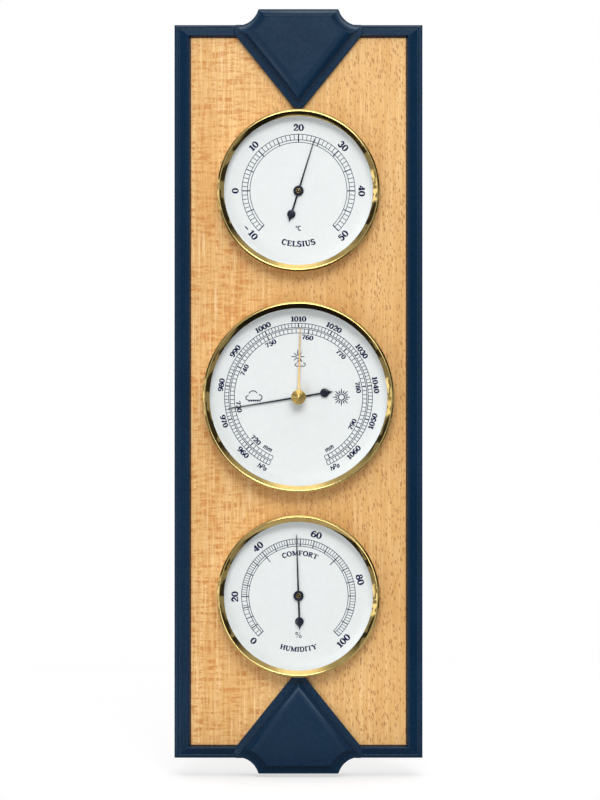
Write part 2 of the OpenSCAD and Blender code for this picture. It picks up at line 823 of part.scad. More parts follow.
module thermometer_case() color(black) upright() at(thermo_y) small_case();
module thermometer_bezel() color(brass) upright() at(thermo_y) bezel(small);
module thermometer_glass() color(clear) upright() at(thermo_y) glass(small);
module thermometer_spacer_ring() color(white) upright() at(thermo_y) spacer_ring(small);
module thermometer_dial() color(white) upright() at(thermo_y) dial(small);
module thermometer_bridge() color(brass) upright() at(thermo_y) small_bridge();
module thermometer_bridge_screws() color(steel) upright() at(thermo_y) small_bridge_screws();
module thermometer_adjuster() color(brass) upright() at(thermo_y) small_adjuster();
module thermometer_coil() color(steel) upright() at(thermo_y) small_coil();
module thermometer_arbor() color(steel) upright() at(thermo_y) small_arbor();
module thermometer_pointer() color(black) upright() at(thermo_y)
    pointer(thermo_needle, thermo_tail, small_drop_r, thermo_angle);
module thermometer_pointer_cap() color(brass) upright() at(thermo_y) pointer_cap();

module hygrometer_case() color(black) upright() at(hygro_y) small_case();
module hygrometer_bezel() color(brass) upright() at(hygro_y) bezel(small);
module hygrometer_glass() color(clear) upright() at(hygro_y) glass(small);
module hygrometer_spacer_ring() color(white) upright() at(hygro_y) spacer_ring(small);
module hygrometer_dial() color(white) upright() at(hygro_y) dial(small);
module hygrometer_bridge() color(brass) upright() at(hygro_y) small_bridge();
module hygrometer_bridge_screws() color(steel) upright() at(hygro_y) small_bridge_screws();
module hygrometer_adjuster() color(brass) upright() at(hygro_y) small_adjuster();
module hygrometer_coil() color(steel) upright() at(hygro_y) small_coil();
module hygrometer_arbor() color(steel) upright() at(hygro_y) small_arbor();
module hygrometer_pointer() color(black) upright() at(hygro_y)
    pointer(hygro_needle, hygro_tail, small_drop_r, hygro_angle);
module hygrometer_pointer_cap() color(brass) upright() at(hygro_y) pointer_cap();

// Places of the three movement screws
module plate_screw_places() for (a = plate_screw_angles) rotate([0, 0, a]) translate([plate_screw_r, 0, 0])
    children();

module barometer_case() color(black) upright() at(baro_y) difference() {
    union() {
        case_cup(large, large_floor);
        plate_screw_places() disc(boss_r, large_floor - touch, plate_z);
    }
    translate([0, adjust_y, 0]) disc(adjust_head_r + 0.2, 0, plate_z);
    plate_screw_places() disc(m2_r + touch, plate_front - m2_grip + large_floor_t, plate_z + 1);
    vents(large_case_r - large_vent_in);
}

module barometer_bezel() color(brass) upright() at(baro_y) bezel(large);
module barometer_glass() color(clear) upright() at(baro_y) glass(large, shaft_r + touch);
module barometer_spacer_ring() color(white) upright() at(baro_y) spacer_ring(large);
module barometer_dial() color(white) upright() at(baro_y) dial(large);

module movement_plate() color(steel) upright() at(baro_y) difference() {
    disc(plate_r, plate_z, plate_front, capsule_stud_r + touch);
    plate_screw_places() disc(m2_r + touch, 0, dial_z);
    translate([0, adjust_y, 0]) disc(adjust_r + touch, 0, dial_z);
    translate([-rocker_window[0] / 2, rocker_y - rocker_window[1] / 2, plate_z - 1])
        cube([rocker_window[0], rocker_window[1], plate_t + 2]);
}

module movement_plate_screws() color(steel) upright() at(baro_y) plate_screw_places()
    m2_screw(plate_front, m2_grip - large_floor_t - touch);

// A corrugated capsule, soldered at its rim, with a stud behind and a post in front
function capsule_face(side) = [for (i = [0:2 * capsule_waves]) let (s = i / (2 * capsule_waves))
    [
        capsule_stud_r + 1 + (capsule_r - capsule_stud_r - 3) * s,
        capsule_mid + side * (capsule_t / 2 - (i % 2) * capsule_wave - capsule_slope * s)
    ]];
capsule_mid = capsule_z + capsule_t / 2;
module aneroid_capsule() color(capsule_metal) upright() at(baro_y) {
    rim = capsule_rim_t / 2;
    rotate_extrude() polygon(concat(
        [[0, capsule_top]], capsule_face(1),
        [[capsule_r - capsule_rim_w, capsule_mid + rim], [capsule_r, capsule_mid + rim]],
        [[capsule_r, capsule_mid - rim], [capsule_r - capsule_rim_w, capsule_mid - rim]],
        reversed(capsule_face(-1)), [[0, capsule_z]]
    ));
    disc(capsule_stud_r, plate_z, capsule_z + touch);
    disc(capsule_post_r, capsule_top - touch, spring_z - touch);
}

module spring_bracket() color(brass) upright() at(baro_y) difference() {
    translate([-bracket_w / 2, bracket_y, plate_front]) cube([bracket_w, bracket_l, spring_z - plate_front]);
    translate([0, adjust_y, 0]) disc(adjust_r + touch, 0, plate_front + adjust_grip + 0.2);
}

// A flat spring, clamped on the bracket and narrowed over the capsule
module main_spring() color(steel) upright() at(baro_y) translate([0, 0, spring_z]) difference() {
    inner = bracket_y + bracket_l;
    linear_extrude(height = spring_t) polygon([
        [-bracket_w / 2, bracket_y], [bracket_w / 2, bracket_y], [bracket_w / 2, inner],
        [spring_tip_w / 2, -spring_tip_w], [spring_tip_w / 2, spring_tip_y],
        [-spring_tip_w / 2, spring_tip_y], [-spring_tip_w / 2, -spring_tip_w], [-bracket_w / 2, inner]
    ]);
    for (x = [-1, 1]) translate([x * bracket_w / 4, adjust_y, 0]) disc(pillar_screw_r, -1, 2);
}

// Lever from the spring's free end to the rocking shaft's short arm, with its push pin
module lever_arm() color(steel) upright() at(baro_y) {
    arm_top = rocker_z - short_arm * sin(rocker_angle) + arm_t / 2 / cos(rocker_angle);
    reach = pin_y + pin_r - spring_tip_y - touch;
    translate([lever_x - lever_w / 2, spring_tip_y + touch, spring_z]) cube([lever_w, reach, spring_t]);
    translate([lever_x, pin_y, 0]) disc(pin_r, arm_top + 0.2, spring_z + touch);
}

module rocker_bracket() color(brass) upright() at(baro_y) for (x = [-1, 1]) difference() {
    translate([x * ear_x - ear_t / 2, rocker_y - ear_w / 2, plate_front])
        cube([ear_t, ear_w, rocker_z + ear_over - plate_front]);
    translate([x * ear_x, rocker_y, rocker_z]) rotate([0, 90, 0])
        cylinder(r = rocker_r + run, h = 2 * ear_t, center = true);
}

module rocking_shaft() color(steel) upright() at(baro_y) translate([0, rocker_y, rocker_z])
    rotate([-rocker_angle, 0, 0]) {
        rotate([0, 90, 0]) cylinder(r = rocker_r, h = 2 * rocker_half, center = true);
        translate([chain_x - arm_t / 2, -arm_t / 2, 0]) cube([arm_t, arm_t, long_arm + arm_over]);
        translate([lever_x - short_arm_w / 2, 0, -arm_t / 2])
            cube([short_arm_w, short_arm + short_arm_over, arm_t]);
    }

// The chain, from the left side of its drum to the long arm's tip
module chain() color(steel) upright() at(baro_y) translate([chain_x, 0, drum_z + drum_t / 2]) {
    arm_face = rocker_y + long_arm * tan(rocker_angle) - arm_t / 2 / cos(rocker_angle);
    rotate([-90, 0, 0]) cylinder(r = chain_r, h = arm_face - 3 * touch);
}

module hairspring() color(steel) upright() at(baro_y) spiral_strip(hairspring_hub + 0.15,
    hairspring_r - 0.13, hairspring_turns, hairspring_t, hairspring_z, hairspring_w);

// A strap over the capsule, on two legs, that carries the arbor's rear bearing and the cock's pillars
module arbor_bridge() color(brass) upright() at(baro_y) difference() {
    union() {
        translate([-leg_x - leg_t / 2, -strap_w / 2, strap_z]) cube([2 * leg_x + leg_t, strap_w, strap_t]);
        for (x = [-1, 1]) {
            translate([x * leg_x - leg_t / 2, -strap_w / 2, plate_front])
                cube([leg_t, strap_w, strap_z - plate_front + touch]);
            translate([x * pillar_x, 0, 0]) disc(pillar_r, strap_z, cock_z);
        }
    }
    disc(pivot_r + run, 0, dial_z);
}

module arbor_cock() color(brass) upright() at(baro_y) difference() {
    union() {
        translate([0, 0, cock_z]) linear_extrude(height = cock_t)
            round_plate(2 * pillar_x + cock_w - 1, cock_w, cock_w / 2 - 0.5);
        for (x = [-1, 1]) translate([x * pillar_x, 0, 0]) disc(pillar_r, cock_z, cock_z + cock_t + 0.6);
        translate([hairspring_r + stud_r, 0, 0]) disc(stud_r, hairspring_z, cock_z + touch);
    }
    disc(arbor_r + run, 0, dial_z);
}

module barometer_arbor() color(steel) upright() at(baro_y) {
    disc(pivot_r, strap_z, drum_z + touch);
    disc(drum_r, drum_z, drum_z + drum_t);
    disc(arbor_r, drum_z + drum_t - touch, hub_top);
    disc(hairspring_hub, hairspring_z, hairspring_z + hairspring_w);
}

module barometer_pointer() color(black) upright() at(baro_y)
    pointer(large_needle, large_tail, large_drop_r, baro_angle);

module adjusting_screw() color(brass) upright() at(baro_y) translate([0, adjust_y, 0]) difference() {
    union() {
        disc(adjust_head_r, large_back, plate_z - adjust_play);
        disc(adjust_r, plate_z - adjust_play - touch, plate_front + adjust_grip);
    }
    screw_slot(large_back, adjust_head_r, 0.8);
}

module set_hand() color(brass) upright() at(baro_y) rotate([0, 0, -set_angle])
    translate([0, 0, hand_z]) linear_extrude(height = hand_t) difference() {
        union() {
            circle(r = hand_hub_r);
            polygon([
                [-hand_w / 2, -hand_hub_r / 2], [hand_w / 2, -hand_hub_r / 2],
                [hand_tip_w / 2, set_length - hand_w], [0, set_length], [-hand_tip_w / 2, set_length - hand_w]
            ]);
        }
        circle(r = shaft_r + pointer_fit);
    }

module set_hand_washer() color(steel) upright() at(baro_y)
    disc(washer_r, hand_z + hand_t + washer_play, glass_z(large) - washer_play, shaft_r + touch);

// The set hand's knob: a short rim, a step and a low cone
knob_rim = 0.35;
knob_step = 0.4;
module set_hand_knob() color(brass) upright() at(baro_y) {
    seat = glass_front(large) + washer_play;
    top = glass_front(large) + knob_h;
    disc(shaft_r, hand_z, seat + touch);
    rotate_extrude() polygon([
        [0, seat], [knob_r - knob_step, seat], [knob_r, seat + knob_step], [knob_r, seat + knob_rim * knob_h],
        [knob_r - knob_step, seat + knob_rim * knob_h + knob_step], [knob_step, top], [0, top]
    ]);
}

board_core();
beech_veneer();
left_rail();
right_rail();
top_rail();
bottom_rail();
top_keystone();
bottom_keystone();
keystone_screws();
hanger_plate();
hanger_screws();
wall_bumpers();
thermometer_case();
thermometer_bezel();
thermometer_glass();
thermometer_spacer_ring();
thermometer_dial();
thermometer_bridge();
thermometer_bridge_screws();
thermometer_adjuster();
thermometer_coil();
thermometer_arbor();
thermometer_pointer();
thermometer_pointer_cap();
hygrometer_case();
hygrometer_bezel();
hygrometer_glass();
hygrometer_spacer_ring();
hygrometer_dial();
hygrometer_bridge();
hygrometer_bridge_screws();
hygrometer_adjuster();
hygrometer_coil();
hygrometer_arbor();
hygrometer_pointer();
hygrometer_pointer_cap();
barometer_case();
barometer_bezel();
barometer_glass();
barometer_spacer_ring();
barometer_dial();
movement_plate();
movement_plate_screws();
aneroid_capsule();
spring_bracket();
main_spring();
lever_arm();
rocker_bracket();
rocking_shaft();
chain();
hairspring();
arbor_bridge();
arbor_cock();
barometer_arbor();
barometer_pointer();
adjusting_screw();
set_hand();
set_hand_washer();
set_hand_knob();
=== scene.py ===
"""Wall weather station: the looks of every piece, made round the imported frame.

Shapes are drawn in the plane of the wall, in millimetres: x to the right, y up, z the
distance from the wall. WALL stands them up in the part's own frame, in metres.
"""
import math

import bmesh
import bpy
from bpy.props import FloatProperty, FloatVectorProperty, IntProperty, PointerProperty
from mathutils import Matrix, Vector


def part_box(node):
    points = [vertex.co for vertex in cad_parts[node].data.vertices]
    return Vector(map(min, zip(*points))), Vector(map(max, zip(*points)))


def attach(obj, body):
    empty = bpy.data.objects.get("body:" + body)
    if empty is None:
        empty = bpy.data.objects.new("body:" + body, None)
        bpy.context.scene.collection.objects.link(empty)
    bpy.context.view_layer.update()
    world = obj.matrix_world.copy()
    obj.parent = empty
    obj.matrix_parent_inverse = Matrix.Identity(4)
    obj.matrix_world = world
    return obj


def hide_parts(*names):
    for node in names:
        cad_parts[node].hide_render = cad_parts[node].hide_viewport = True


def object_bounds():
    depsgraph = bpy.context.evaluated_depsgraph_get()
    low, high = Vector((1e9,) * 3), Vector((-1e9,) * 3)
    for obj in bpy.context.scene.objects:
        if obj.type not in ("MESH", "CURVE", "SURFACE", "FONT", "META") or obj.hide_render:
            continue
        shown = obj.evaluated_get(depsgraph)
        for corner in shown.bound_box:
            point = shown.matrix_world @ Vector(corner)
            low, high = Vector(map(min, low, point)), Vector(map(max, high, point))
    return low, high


bl_info = {
    "name": "Wall weather station",
    "version": (1, 0, 0),
    "blender": (4, 5, 0),
    "location": "View3D > Sidebar > Weather station",
    "description": "Makes the framed board, its three dial instruments and the studio round them",
    "category": "Object",
}

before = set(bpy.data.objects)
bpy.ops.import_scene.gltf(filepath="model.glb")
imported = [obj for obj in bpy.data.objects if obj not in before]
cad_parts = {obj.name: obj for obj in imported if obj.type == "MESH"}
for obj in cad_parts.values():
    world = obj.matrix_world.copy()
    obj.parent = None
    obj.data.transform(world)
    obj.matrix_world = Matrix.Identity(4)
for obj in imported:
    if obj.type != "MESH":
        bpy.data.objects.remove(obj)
CAD_BOX = [list(corner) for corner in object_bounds()]

MM = 0.001
WALL = Matrix(((1, 0, 0, 0), (0, 0, -1, 0), (0, 1, 0, 0), (0, 0, 0, 1)))
ROOT = "root"


def extent(node):
    """A CAD node's box in wall coordinates: (left, bottom, near), (right, top, far), in mm."""
    lo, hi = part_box(node)
    return Vector((lo.x, lo.z, -hi.y)) / MM, Vector((hi.x, hi.z, -lo.y)) / MM


def centre_of(node):
    """The middle of a CAD node on the wall, in mm."""
    low, high = extent(node)
    return (low[0] + high[0]) / 2, (low[1] + high[1]) / 2


def half_width(node):
    low, high = extent(node)
    return (high[0] - low[0]) / 2


# Sizes that the frame gives
FRAME_LOW = Vector((extent("left_rail")[0][0], extent("bottom_rail")[0][1], 0))
FRAME_HIGH = Vector(
    (extent("right_rail")[1][0], extent("top_rail")[1][1], extent("left_rail")[1][2]))
SIDE_RAIL_W = extent("left_rail")[1][0] - extent("left_rail")[0][0]
END_RAIL_W = extent("top_rail")[1][1] - extent("top_rail")[0][1]
VENEER_FRONT = extent("beech_veneer")[1][2]
KEY_TOP_END = extent("top_keystone")[1][1]
KEY_BOTTOM_END = extent("bottom_keystone")[0][1]
DIAL_FRONT = extent("thermometer_dial")[1][2]
INSTRUMENTS = ("thermometer", "barometer", "hygrometer")


# ---------------------------------------------------------------- sizes and colours


def colour(name, description, default):
    return FloatVectorProperty(
        name=name, description=description, subtype="COLOR", size=3, min=0, max=1, default=default)


def millimetres(name, description, default, least, most):
    return FloatProperty(
        name=name, description=description + " in mm", default=default, min=least, max=most)


def metres(name, description, default, least, most):
    return FloatProperty(
        name=name, description=description, default=default, min=least, max=most, unit="LENGTH")


def watts(name, description, default):
    return FloatProperty(name=name, description=description, default=default, min=0, unit="POWER")


class HousingLook(bpy.types.PropertyGroup):
    lacquer: colour("Lacquer", "Colour of the rails and keystones", (0.0018, 0.0175, 0.047))
    lacquer_light: colour(
        "Lacquer, lighter", "Lighter tone of the lacquer, in soft patches", (0.0028, 0.0212, 0.054))
    edge_round: millimetres("Edge round", "Radius of the rails' small edges", 0.22, 0.05, 0.4)
    beech_light: colour("Beech, light", "Lightest tone of the beech veneer", (0.95, 0.635, 0.285))
    beech_dark: colour("Beech, dark", "Darker tone of the beech veneer", (0.76, 0.425, 0.14))
    figure: colour("Cross figure", "Colour of the bars across the grain", (0.62, 0.25, 0.055))
    fleck: colour("Flecks", "Colour of the ray flecks in the beech", (0.50, 0.225, 0.07))


class DialLook(bpy.types.PropertyGroup):
    face: colour("Dial", "Colour of the dials", (0.855, 0.875, 0.89))
    ink: colour("Ink", "Colour of the printed scales", (0.002, 0.006, 0.060))
    ink_height: millimetres("Ink height", "Height of the print above the dial", 0.03, 0.01, 0.1)
    fine_line: millimetres("Fine line", "Width of the scales' fine lines", 0.32, 0.05, 0.4)
    bold_line: millimetres("Bold line", "Width of the scales' bold marks", 0.6, 0.2, 0.9)
    pointer_bevel: millimetres(
        "Pointer bevel", "Bevel along the pointers' edges", 0.07, 0.01, 0.12)


class MetalLook(bpy.types.PropertyGroup):
    brass: colour("Brass", "Colour of the polished bezels", (0.84, 0.62, 0.23))
    steps: IntProperty(
        name="Steps round", description="Sides of a spun bezel", default=256, min=48, max=360)


class StudioLook(bpy.types.PropertyGroup):
    distance: metres("Camera distance", "From the camera to the rails' fronts", 2.0, 0.5, 4)
    frame_height: metres(
        "View height", "Height that the view takes in at the rails", 0.4189, 0.3, 1)
    view_centre: FloatVectorProperty(
        name="View centre", description="Where the camera looks, on the wall plane",
        size=2, default=(0.0008, -0.1685), unit="LENGTH")
    key_power: watts("Key light", "Power of the large lamp above", 12.0)
    front_power: watts("Front light", "Power of the soft lamp above the camera", 6.5)
    fill_power: watts("Fill light", "Power of the soft lamp below", 6.0)
    floor: colour("Floor", "Colour of the pale floor", (0.5, 0.5, 0.505))


class WeatherStationLook(bpy.types.PropertyGroup):
    housing: PointerProperty(type=HousingLook)
    dial: PointerProperty(type=DialLook)
    metal: PointerProperty(type=MetalLook)
    studio: PointerProperty(type=StudioLook)


def look():
    return bpy.context.scene.weather_station


# ---------------------------------------------------------------- meshes


class Shape:
    """A mesh under construction, in mm."""

    def __init__(self):
        self.verts = []
        self.faces = []

    def add(self, verts, faces):
        base = len(self.verts)
        self.verts += [tuple(v) for v in verts]
        self.faces += [tuple(base + i for i in f) for f in faces]

    def merge(self, other, turn=0.0):
        """Adds another shape, turned clockwise by an angle in degrees."""
        c, s = math.cos(math.radians(turn)), math.sin(math.radians(turn))
        self.add([(x * c + y * s, -x * s + y * c, z) for x, y, z in other.verts], other.faces)


def loft(rings, closed=False):
    """Rings of equal length joined one after another, and the last to the first if closed."""
    n = len(rings[0])
    verts = [p for ring in rings for p in ring]
    pairs = [(i, i + 1) for i in range(len(rings) - 1)]
    if closed:
        pairs.append((len(rings) - 1, 0))
    faces = [
        (a * n + j, a * n + (j + 1) % n, b * n + (j + 1) % n, b * n + j)
        for a, b in pairs for j in range(n)
    ]
    if not closed:
        faces.append(tuple(reversed(range(n))))
        faces.append(tuple((len(rings) - 1) * n + j for j in range(n)))
    shape = Shape()
    shape.add(verts, faces)
    return shape


def lathe(profile, steps):
    """A closed profile of (radius, z) turned about the z axis. Points at radius 0 become poles."""
    shape = Shape()
    index = []
    for r, z in profile:
        if r < 1e-6:
            index.append([len(shape.verts)] * steps)
            shape.verts.append((0, 0, z))
        else:
            index.append(list(range(len(shape.verts), len(shape.verts) + steps)))
            shape.verts += [
                (r * math.cos(math.tau * k / steps), r * math.sin(math.tau * k / steps), z)
                for k in range(steps)
            ]
    for here, there in zip(index, index[1:] + index[:1]):
        for k in range(steps):
            m = (k + 1) % steps
            face = []
            for v in (here[k], here[m], there[m], there[k]):
                if v not in face:
                    face.append(v)
            if len(face) > 2:
                shape.faces.append(tuple(face))
    return shape


def drill(radius, steps):
    """A round bar that goes through everything, to cut with."""
    return lathe([(0, 0), (radius, 0), (radius, 60), (0, 60)], steps)


def arc_points(cx, cy, rx, ry, a0, a1, n):
    """Points along a part of an ellipse, anticlockwise in degrees from the right."""
    angles = [math.radians(a0 + (a1 - a0) * i / n) for i in range(n + 1)]
    return [(cx + rx * math.cos(a), cy + ry * math.sin(a)) for a in angles]


def mirrored(right, last=None):
    """A right half that starts on the axis, and its mirror image, as one outline."""
    return right + [(-x, y) for x, y in reversed(right[1:last])]


def soften(points, radius, steps=3):
    """A line whose corners are cut to small curves that reach radius along each side."""
    out = [tuple(points[0])]
    for before, corner, after in zip(points, points[1:], points[2:]):
        here = Vector(corner)
        a, b = Vector(before) - here, Vector(after) - here
        if a.angle(b, math.pi) > math.radians(160):
            out.append(tuple(corner))
            continue
        ra, rb = min(radius, a.length * 0.45), min(radius, b.length * 0.45)
        start, end = here + a.normalized() * ra, here + b.normalized() * rb
        for k in range(steps + 1):
            t = k / steps
            out.append(tuple(start * (1 - t) ** 2 + here * 2 * t * (1 - t) + end * t ** 2))
    return out + [tuple(points[-1])]


def inset(outline, d):
    """The outline moved inwards by d, for an anticlockwise polygon without tight hollows."""
    out = []
    n = len(outline)
    for i in range(n):
        p, before, after = (Vector(outline[j % n]) for j in (i, i - 1, i + 1))
        na, nb = (Vector((-a.y, a.x)).normalized() for a in (p - before, after - p))
        m = na + nb
        m = m.normalized() * min(1 / max(m.length / 2, 0.35), 2.2) if m.length > 1e-6 else na
        out.append(tuple(p + m * d))
    return out


def plate(outline, z0, z1, bevel=0.0, steps=3):
    """An outline raised from z0 to z1 with a round bevel along its front edge."""
    rings = [[(x, y, z0) for x, y in outline]]
    if not bevel:
        rings.append([(x, y, z1) for x, y in outline])
    else:
        for k in range(steps + 1):
            a = math.pi / 2 * k / steps
            edge = inset(outline, bevel * (1 - math.cos(a)))
            rings.append([(x, y, z1 - bevel + bevel * math.sin(a)) for x, y in edge])
    return loft(rings)


def ribbon(points, widths, z0, z1, closed=False):
    """A flat band along a line of points, with a width at each of them."""
    n = len(points)
    rings = []
    for i in range(n):
        before, after = (i - 1, (i + 1) % n) if closed else (max(i - 1, 0), min(i + 1, n - 1))
        d = (Vector(points[after]) - Vector(points[before])).normalized()
        side = Vector((-d.y, d.x)) * widths[i] / 2
        left, right = Vector(points[i]) + side, Vector(points[i]) - side
        rings.append([(*left, z0), (*right, z0), (*right, z1), (*left, z1)])
    return loft(rings, closed)


def smoothed(mesh, sharp=35.0):
    """Smooth faces, apart from edges sharper than an angle in degrees."""
    mesh.polygons.foreach_set("use_smooth", [True] * len(mesh.polygons))
    mesh.set_sharp_from_angle(angle=math.radians(sharp))


def make_object(
    name, shape, centre=(0.0, 0.0), material=None, nodes=(), body=ROOT, sharp=35.0,
    smooth=True,
):
    """One piece from a shape, stood up at a centre on the wall, riding on a body."""
    mesh = bpy.data.meshes.new(name)
    mesh.from_pydata([(x * MM, y * MM, z * MM) for x, y, z in shape.verts], [], shape.faces)
    bm = bmesh.new()
    bm.from_mesh(mesh)
    bmesh.ops.remove_doubles(bm, verts=bm.verts, dist=1e-7)
    bmesh.ops.recalc_face_normals(bm, faces=bm.faces)
    bm.to_mesh(mesh)
    bm.free()
    if smooth:
        smoothed(mesh, sharp)
    mesh.update()
    obj = bpy.data.objects.new(name, mesh)
    bpy.context.scene.collection.objects.link(obj)
    obj.matrix_world = Matrix.Translation((centre[0] * MM, 0, centre[1] * MM)) @ WALL
    if material:
        mesh.materials.append(material)
    if body:
        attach(obj, body)
    if nodes:
        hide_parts(*nodes)
    return obj


def cut_away(obj, shape, centre=(0.0, 0.0)):
    """Takes a closed shape, placed at a centre on the wall, out of a piece."""
    cutter = make_object(obj.name + "_cutter", shape, centre, body=None, smooth=False)
    cut = obj.modifiers.new("cut", "BOOLEAN")
    cut.operation = "DIFFERENCE"
    cut.solver = "EXACT"
    cut.object = cutter
    bpy.context.view_layer.update()
    graph = bpy.context.evaluated_depsgraph_get()
    mesh = bpy.data.meshes.new_from_object(obj.evaluated_get(graph))
    obj.modifiers.clear()
    old = obj.data
    obj.data = mesh
    bpy.data.meshes.remove(old)
    mesh.name = obj.name
    smoothed(mesh)
    bpy.data.objects.remove(cutter)


def join(first, second):
    """Adds a second piece's mesh, placed alike, to the first."""
    bm = bmesh.new()
    bm.from_mesh(first.data)
    bm.from_mesh(second.data)
    bm.to_mesh(first.data)
    bm.free()
    smoothed(first.data)
    bpy.data.objects.remove(second)


def finish_node(node, material):
    """A CAD node that stays gets its material."""
    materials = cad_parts[node].data.materials
    materials.clear()
    materials.append(material)


# ---------------------------------------------------------------- materials


class Nodes:
    """A node tree and short ways to add to it."""

    def __init__(self, tree):
        self.nodes = tree.nodes
        self.links = tree.links
        self.nodes.clear()

    def node(self, kind, inputs=None, **settings):
        made = self.nodes.new(kind)
        for key, value in settings.items():
            setattr(made, key, value)
        for key, value in (inputs or {}).items():
            self.give(made.inputs[key], value)
        return made

    def give(self, socket, value):
        """Links a socket or sets it. A colour may come without its alpha."""
        if isinstance(value, bpy.types.NodeSocket):
            self.links.new(value, socket)
        elif socket.type == "RGBA" and len(value) == 3:
            socket.default_value = (*value, 1)
        else:
            socket.default_value = value

    def ramp(self, value, low, high, to_low=0.0, to_high=1.0, smooth=True):
        return self.node(
            "ShaderNodeMapRange",
            {"Value": value, "From Min": low, "From Max": high,
             "To Min": to_low, "To Max": to_high},
            interpolation_type="SMOOTHSTEP" if smooth else "LINEAR").outputs[0]

    def maths(self, operation, a, b=0.0):
        return self.node("ShaderNodeMath", {0: a, 1: b}, operation=operation).outputs[0]

    def plus(self, a, b):
        return self.maths("ADD", a, b)

    def minus(self, a, b):
        return self.maths("SUBTRACT", a, b)

    def times(self, a, b):
        return self.maths("MULTIPLY", a, b)

    def greater(self, a, b):
        return self.maths("MAXIMUM", a, b)

    def size(self, a):
        return self.maths("ABSOLUTE", a)


class Shading(Nodes):
    """A material of one principled shader, with patterns measured in mm on the piece."""

    SOCKETS = {
        "color": "Base Color", "metallic": "Metallic", "roughness": "Roughness", "ior": "IOR",
        "coat": "Coat Weight", "coat_roughness": "Coat Roughness", "normal": "Normal",
        "transmission": "Transmission Weight", "specular": "Specular IOR Level",
        "anisotropic": "Anisotropic", "tangent": "Tangent", "spin": "Anisotropic Rotation",
        "tint": "Specular Tint",
    }

    def __init__(self, name):
        self.material = bpy.data.materials.get(name) or bpy.data.materials.new(name)
        self.material.use_nodes = True
        super().__init__(self.material.node_tree)
        self.out = self.nodes.new("ShaderNodeOutputMaterial")
        self.bsdf = self.nodes.new("ShaderNodeBsdfPrincipled")
        self.finish_with(self.bsdf)
        self.where = None

    def set(self, **values):
        for key, value in values.items():
            self.give(self.bsdf.inputs[self.SOCKETS[key]], value)

    def finish_with(self, shader):
        self.links.new(shader.outputs[0], self.out.inputs[0])

    def place(self):
        """Position on the piece in mm."""
        if self.where is None:
            coords = self.node("ShaderNodeTexCoord")
            self.where = self.node(
                "ShaderNodeVectorMath", {0: coords.outputs["Object"], 3: 1 / MM},
                operation="SCALE").outputs[0]
        return self.where

    def axes(self):
        return self.node("ShaderNodeSeparateXYZ", {0: self.place()}).outputs[:3]

    def radius(self):
        """Distance from the piece's axis in mm."""
        x, y, _ = self.axes()
        return self.maths("SQRT", self.plus(self.times(x, x), self.times(y, y)))

    def stretched(self, scale, offset=(0, 0, 0)):
        scale = scale if isinstance(scale, tuple) else (scale,) * 3
        return self.node(
            "ShaderNodeMapping", {"Vector": self.place(), "Scale": scale, "Location": offset}
        ).outputs[0]

    def noise(self, scale, detail=2.0, rough=0.5, offset=(0, 0, 0), distortion=0.0):
        """Noise in cycles per mm, with one scale or one along each axis."""
        return self.node(
            "ShaderNodeTexNoise",
            {"Vector": self.stretched(scale, offset), "Scale": 1.0, "Detail": detail,
             "Roughness": rough, "Distortion": distortion}).outputs["Fac"]

    def cells(self, vector):
        """Distance to the nearest of some scattered points, and a random colour for each."""
        made = self.node("ShaderNodeTexVoronoi", {"Vector": vector, "Scale": 1.0})
        return made.outputs["Distance"], made.outputs["Color"]

    def mix(self, factor, a, b):
        made = self.node("ShaderNodeMix", data_type="RGBA", clamp_factor=True)
        self.give(made.inputs["Factor"], factor)
        for key, value in (("A", a), ("B", b)):
            self.give(next(s for s in made.inputs if s.name == key and s.type == "RGBA"), value)
        return next(s for s in made.outputs if s.type == "RGBA")

    def over_noise(self, noise, low, high):
        """A number that goes from low to high over the middle range of a noise."""
        return self.ramp(noise, 0.3, 0.7, low, high)

    def mottle(self, noise, a, b):
        return self.mix(self.over_noise(noise, 0.0, 1.0), a, b)

    def bump(self, height, strength, distance, before=None):
        made = self.node(
            "ShaderNodeBump", {"Height": height, "Strength": strength, "Distance": distance * MM})
        if before:
            self.links.new(before, made.inputs["Normal"])
        return made.outputs[0]


def lacquer():
    """Satin navy lacquer in two close tones, a faint orange peel, a little paler on worn edges."""
    s = Shading("navy_lacquer")
    h = look().housing
    rounded = s.node("ShaderNodeBevel", {"Radius": 0.3 * MM}, samples=8).outputs[0]
    facing = s.node(
        "ShaderNodeVectorMath",
        {0: rounded, 1: s.node("ShaderNodeNewGeometry").outputs["Normal"]},
        operation="DOT_PRODUCT").outputs["Value"]
    worn = s.ramp(facing, 0.995, 0.9, 0.0, 0.25)
    edge_tone = (0.014, 0.042, 0.085)
    s.set(
        color=s.mix(
            worn, s.mottle(s.noise(0.03), tuple(h.lacquer), tuple(h.lacquer_light)), edge_tone),
        roughness=s.over_noise(s.noise(0.4, 3), 0.25, 0.30),
        specular=0.25, tint=(0.78, 0.92, 1.0),
        normal=s.bump(s.noise(1.4), 0.05, 0.01))
    return s.material


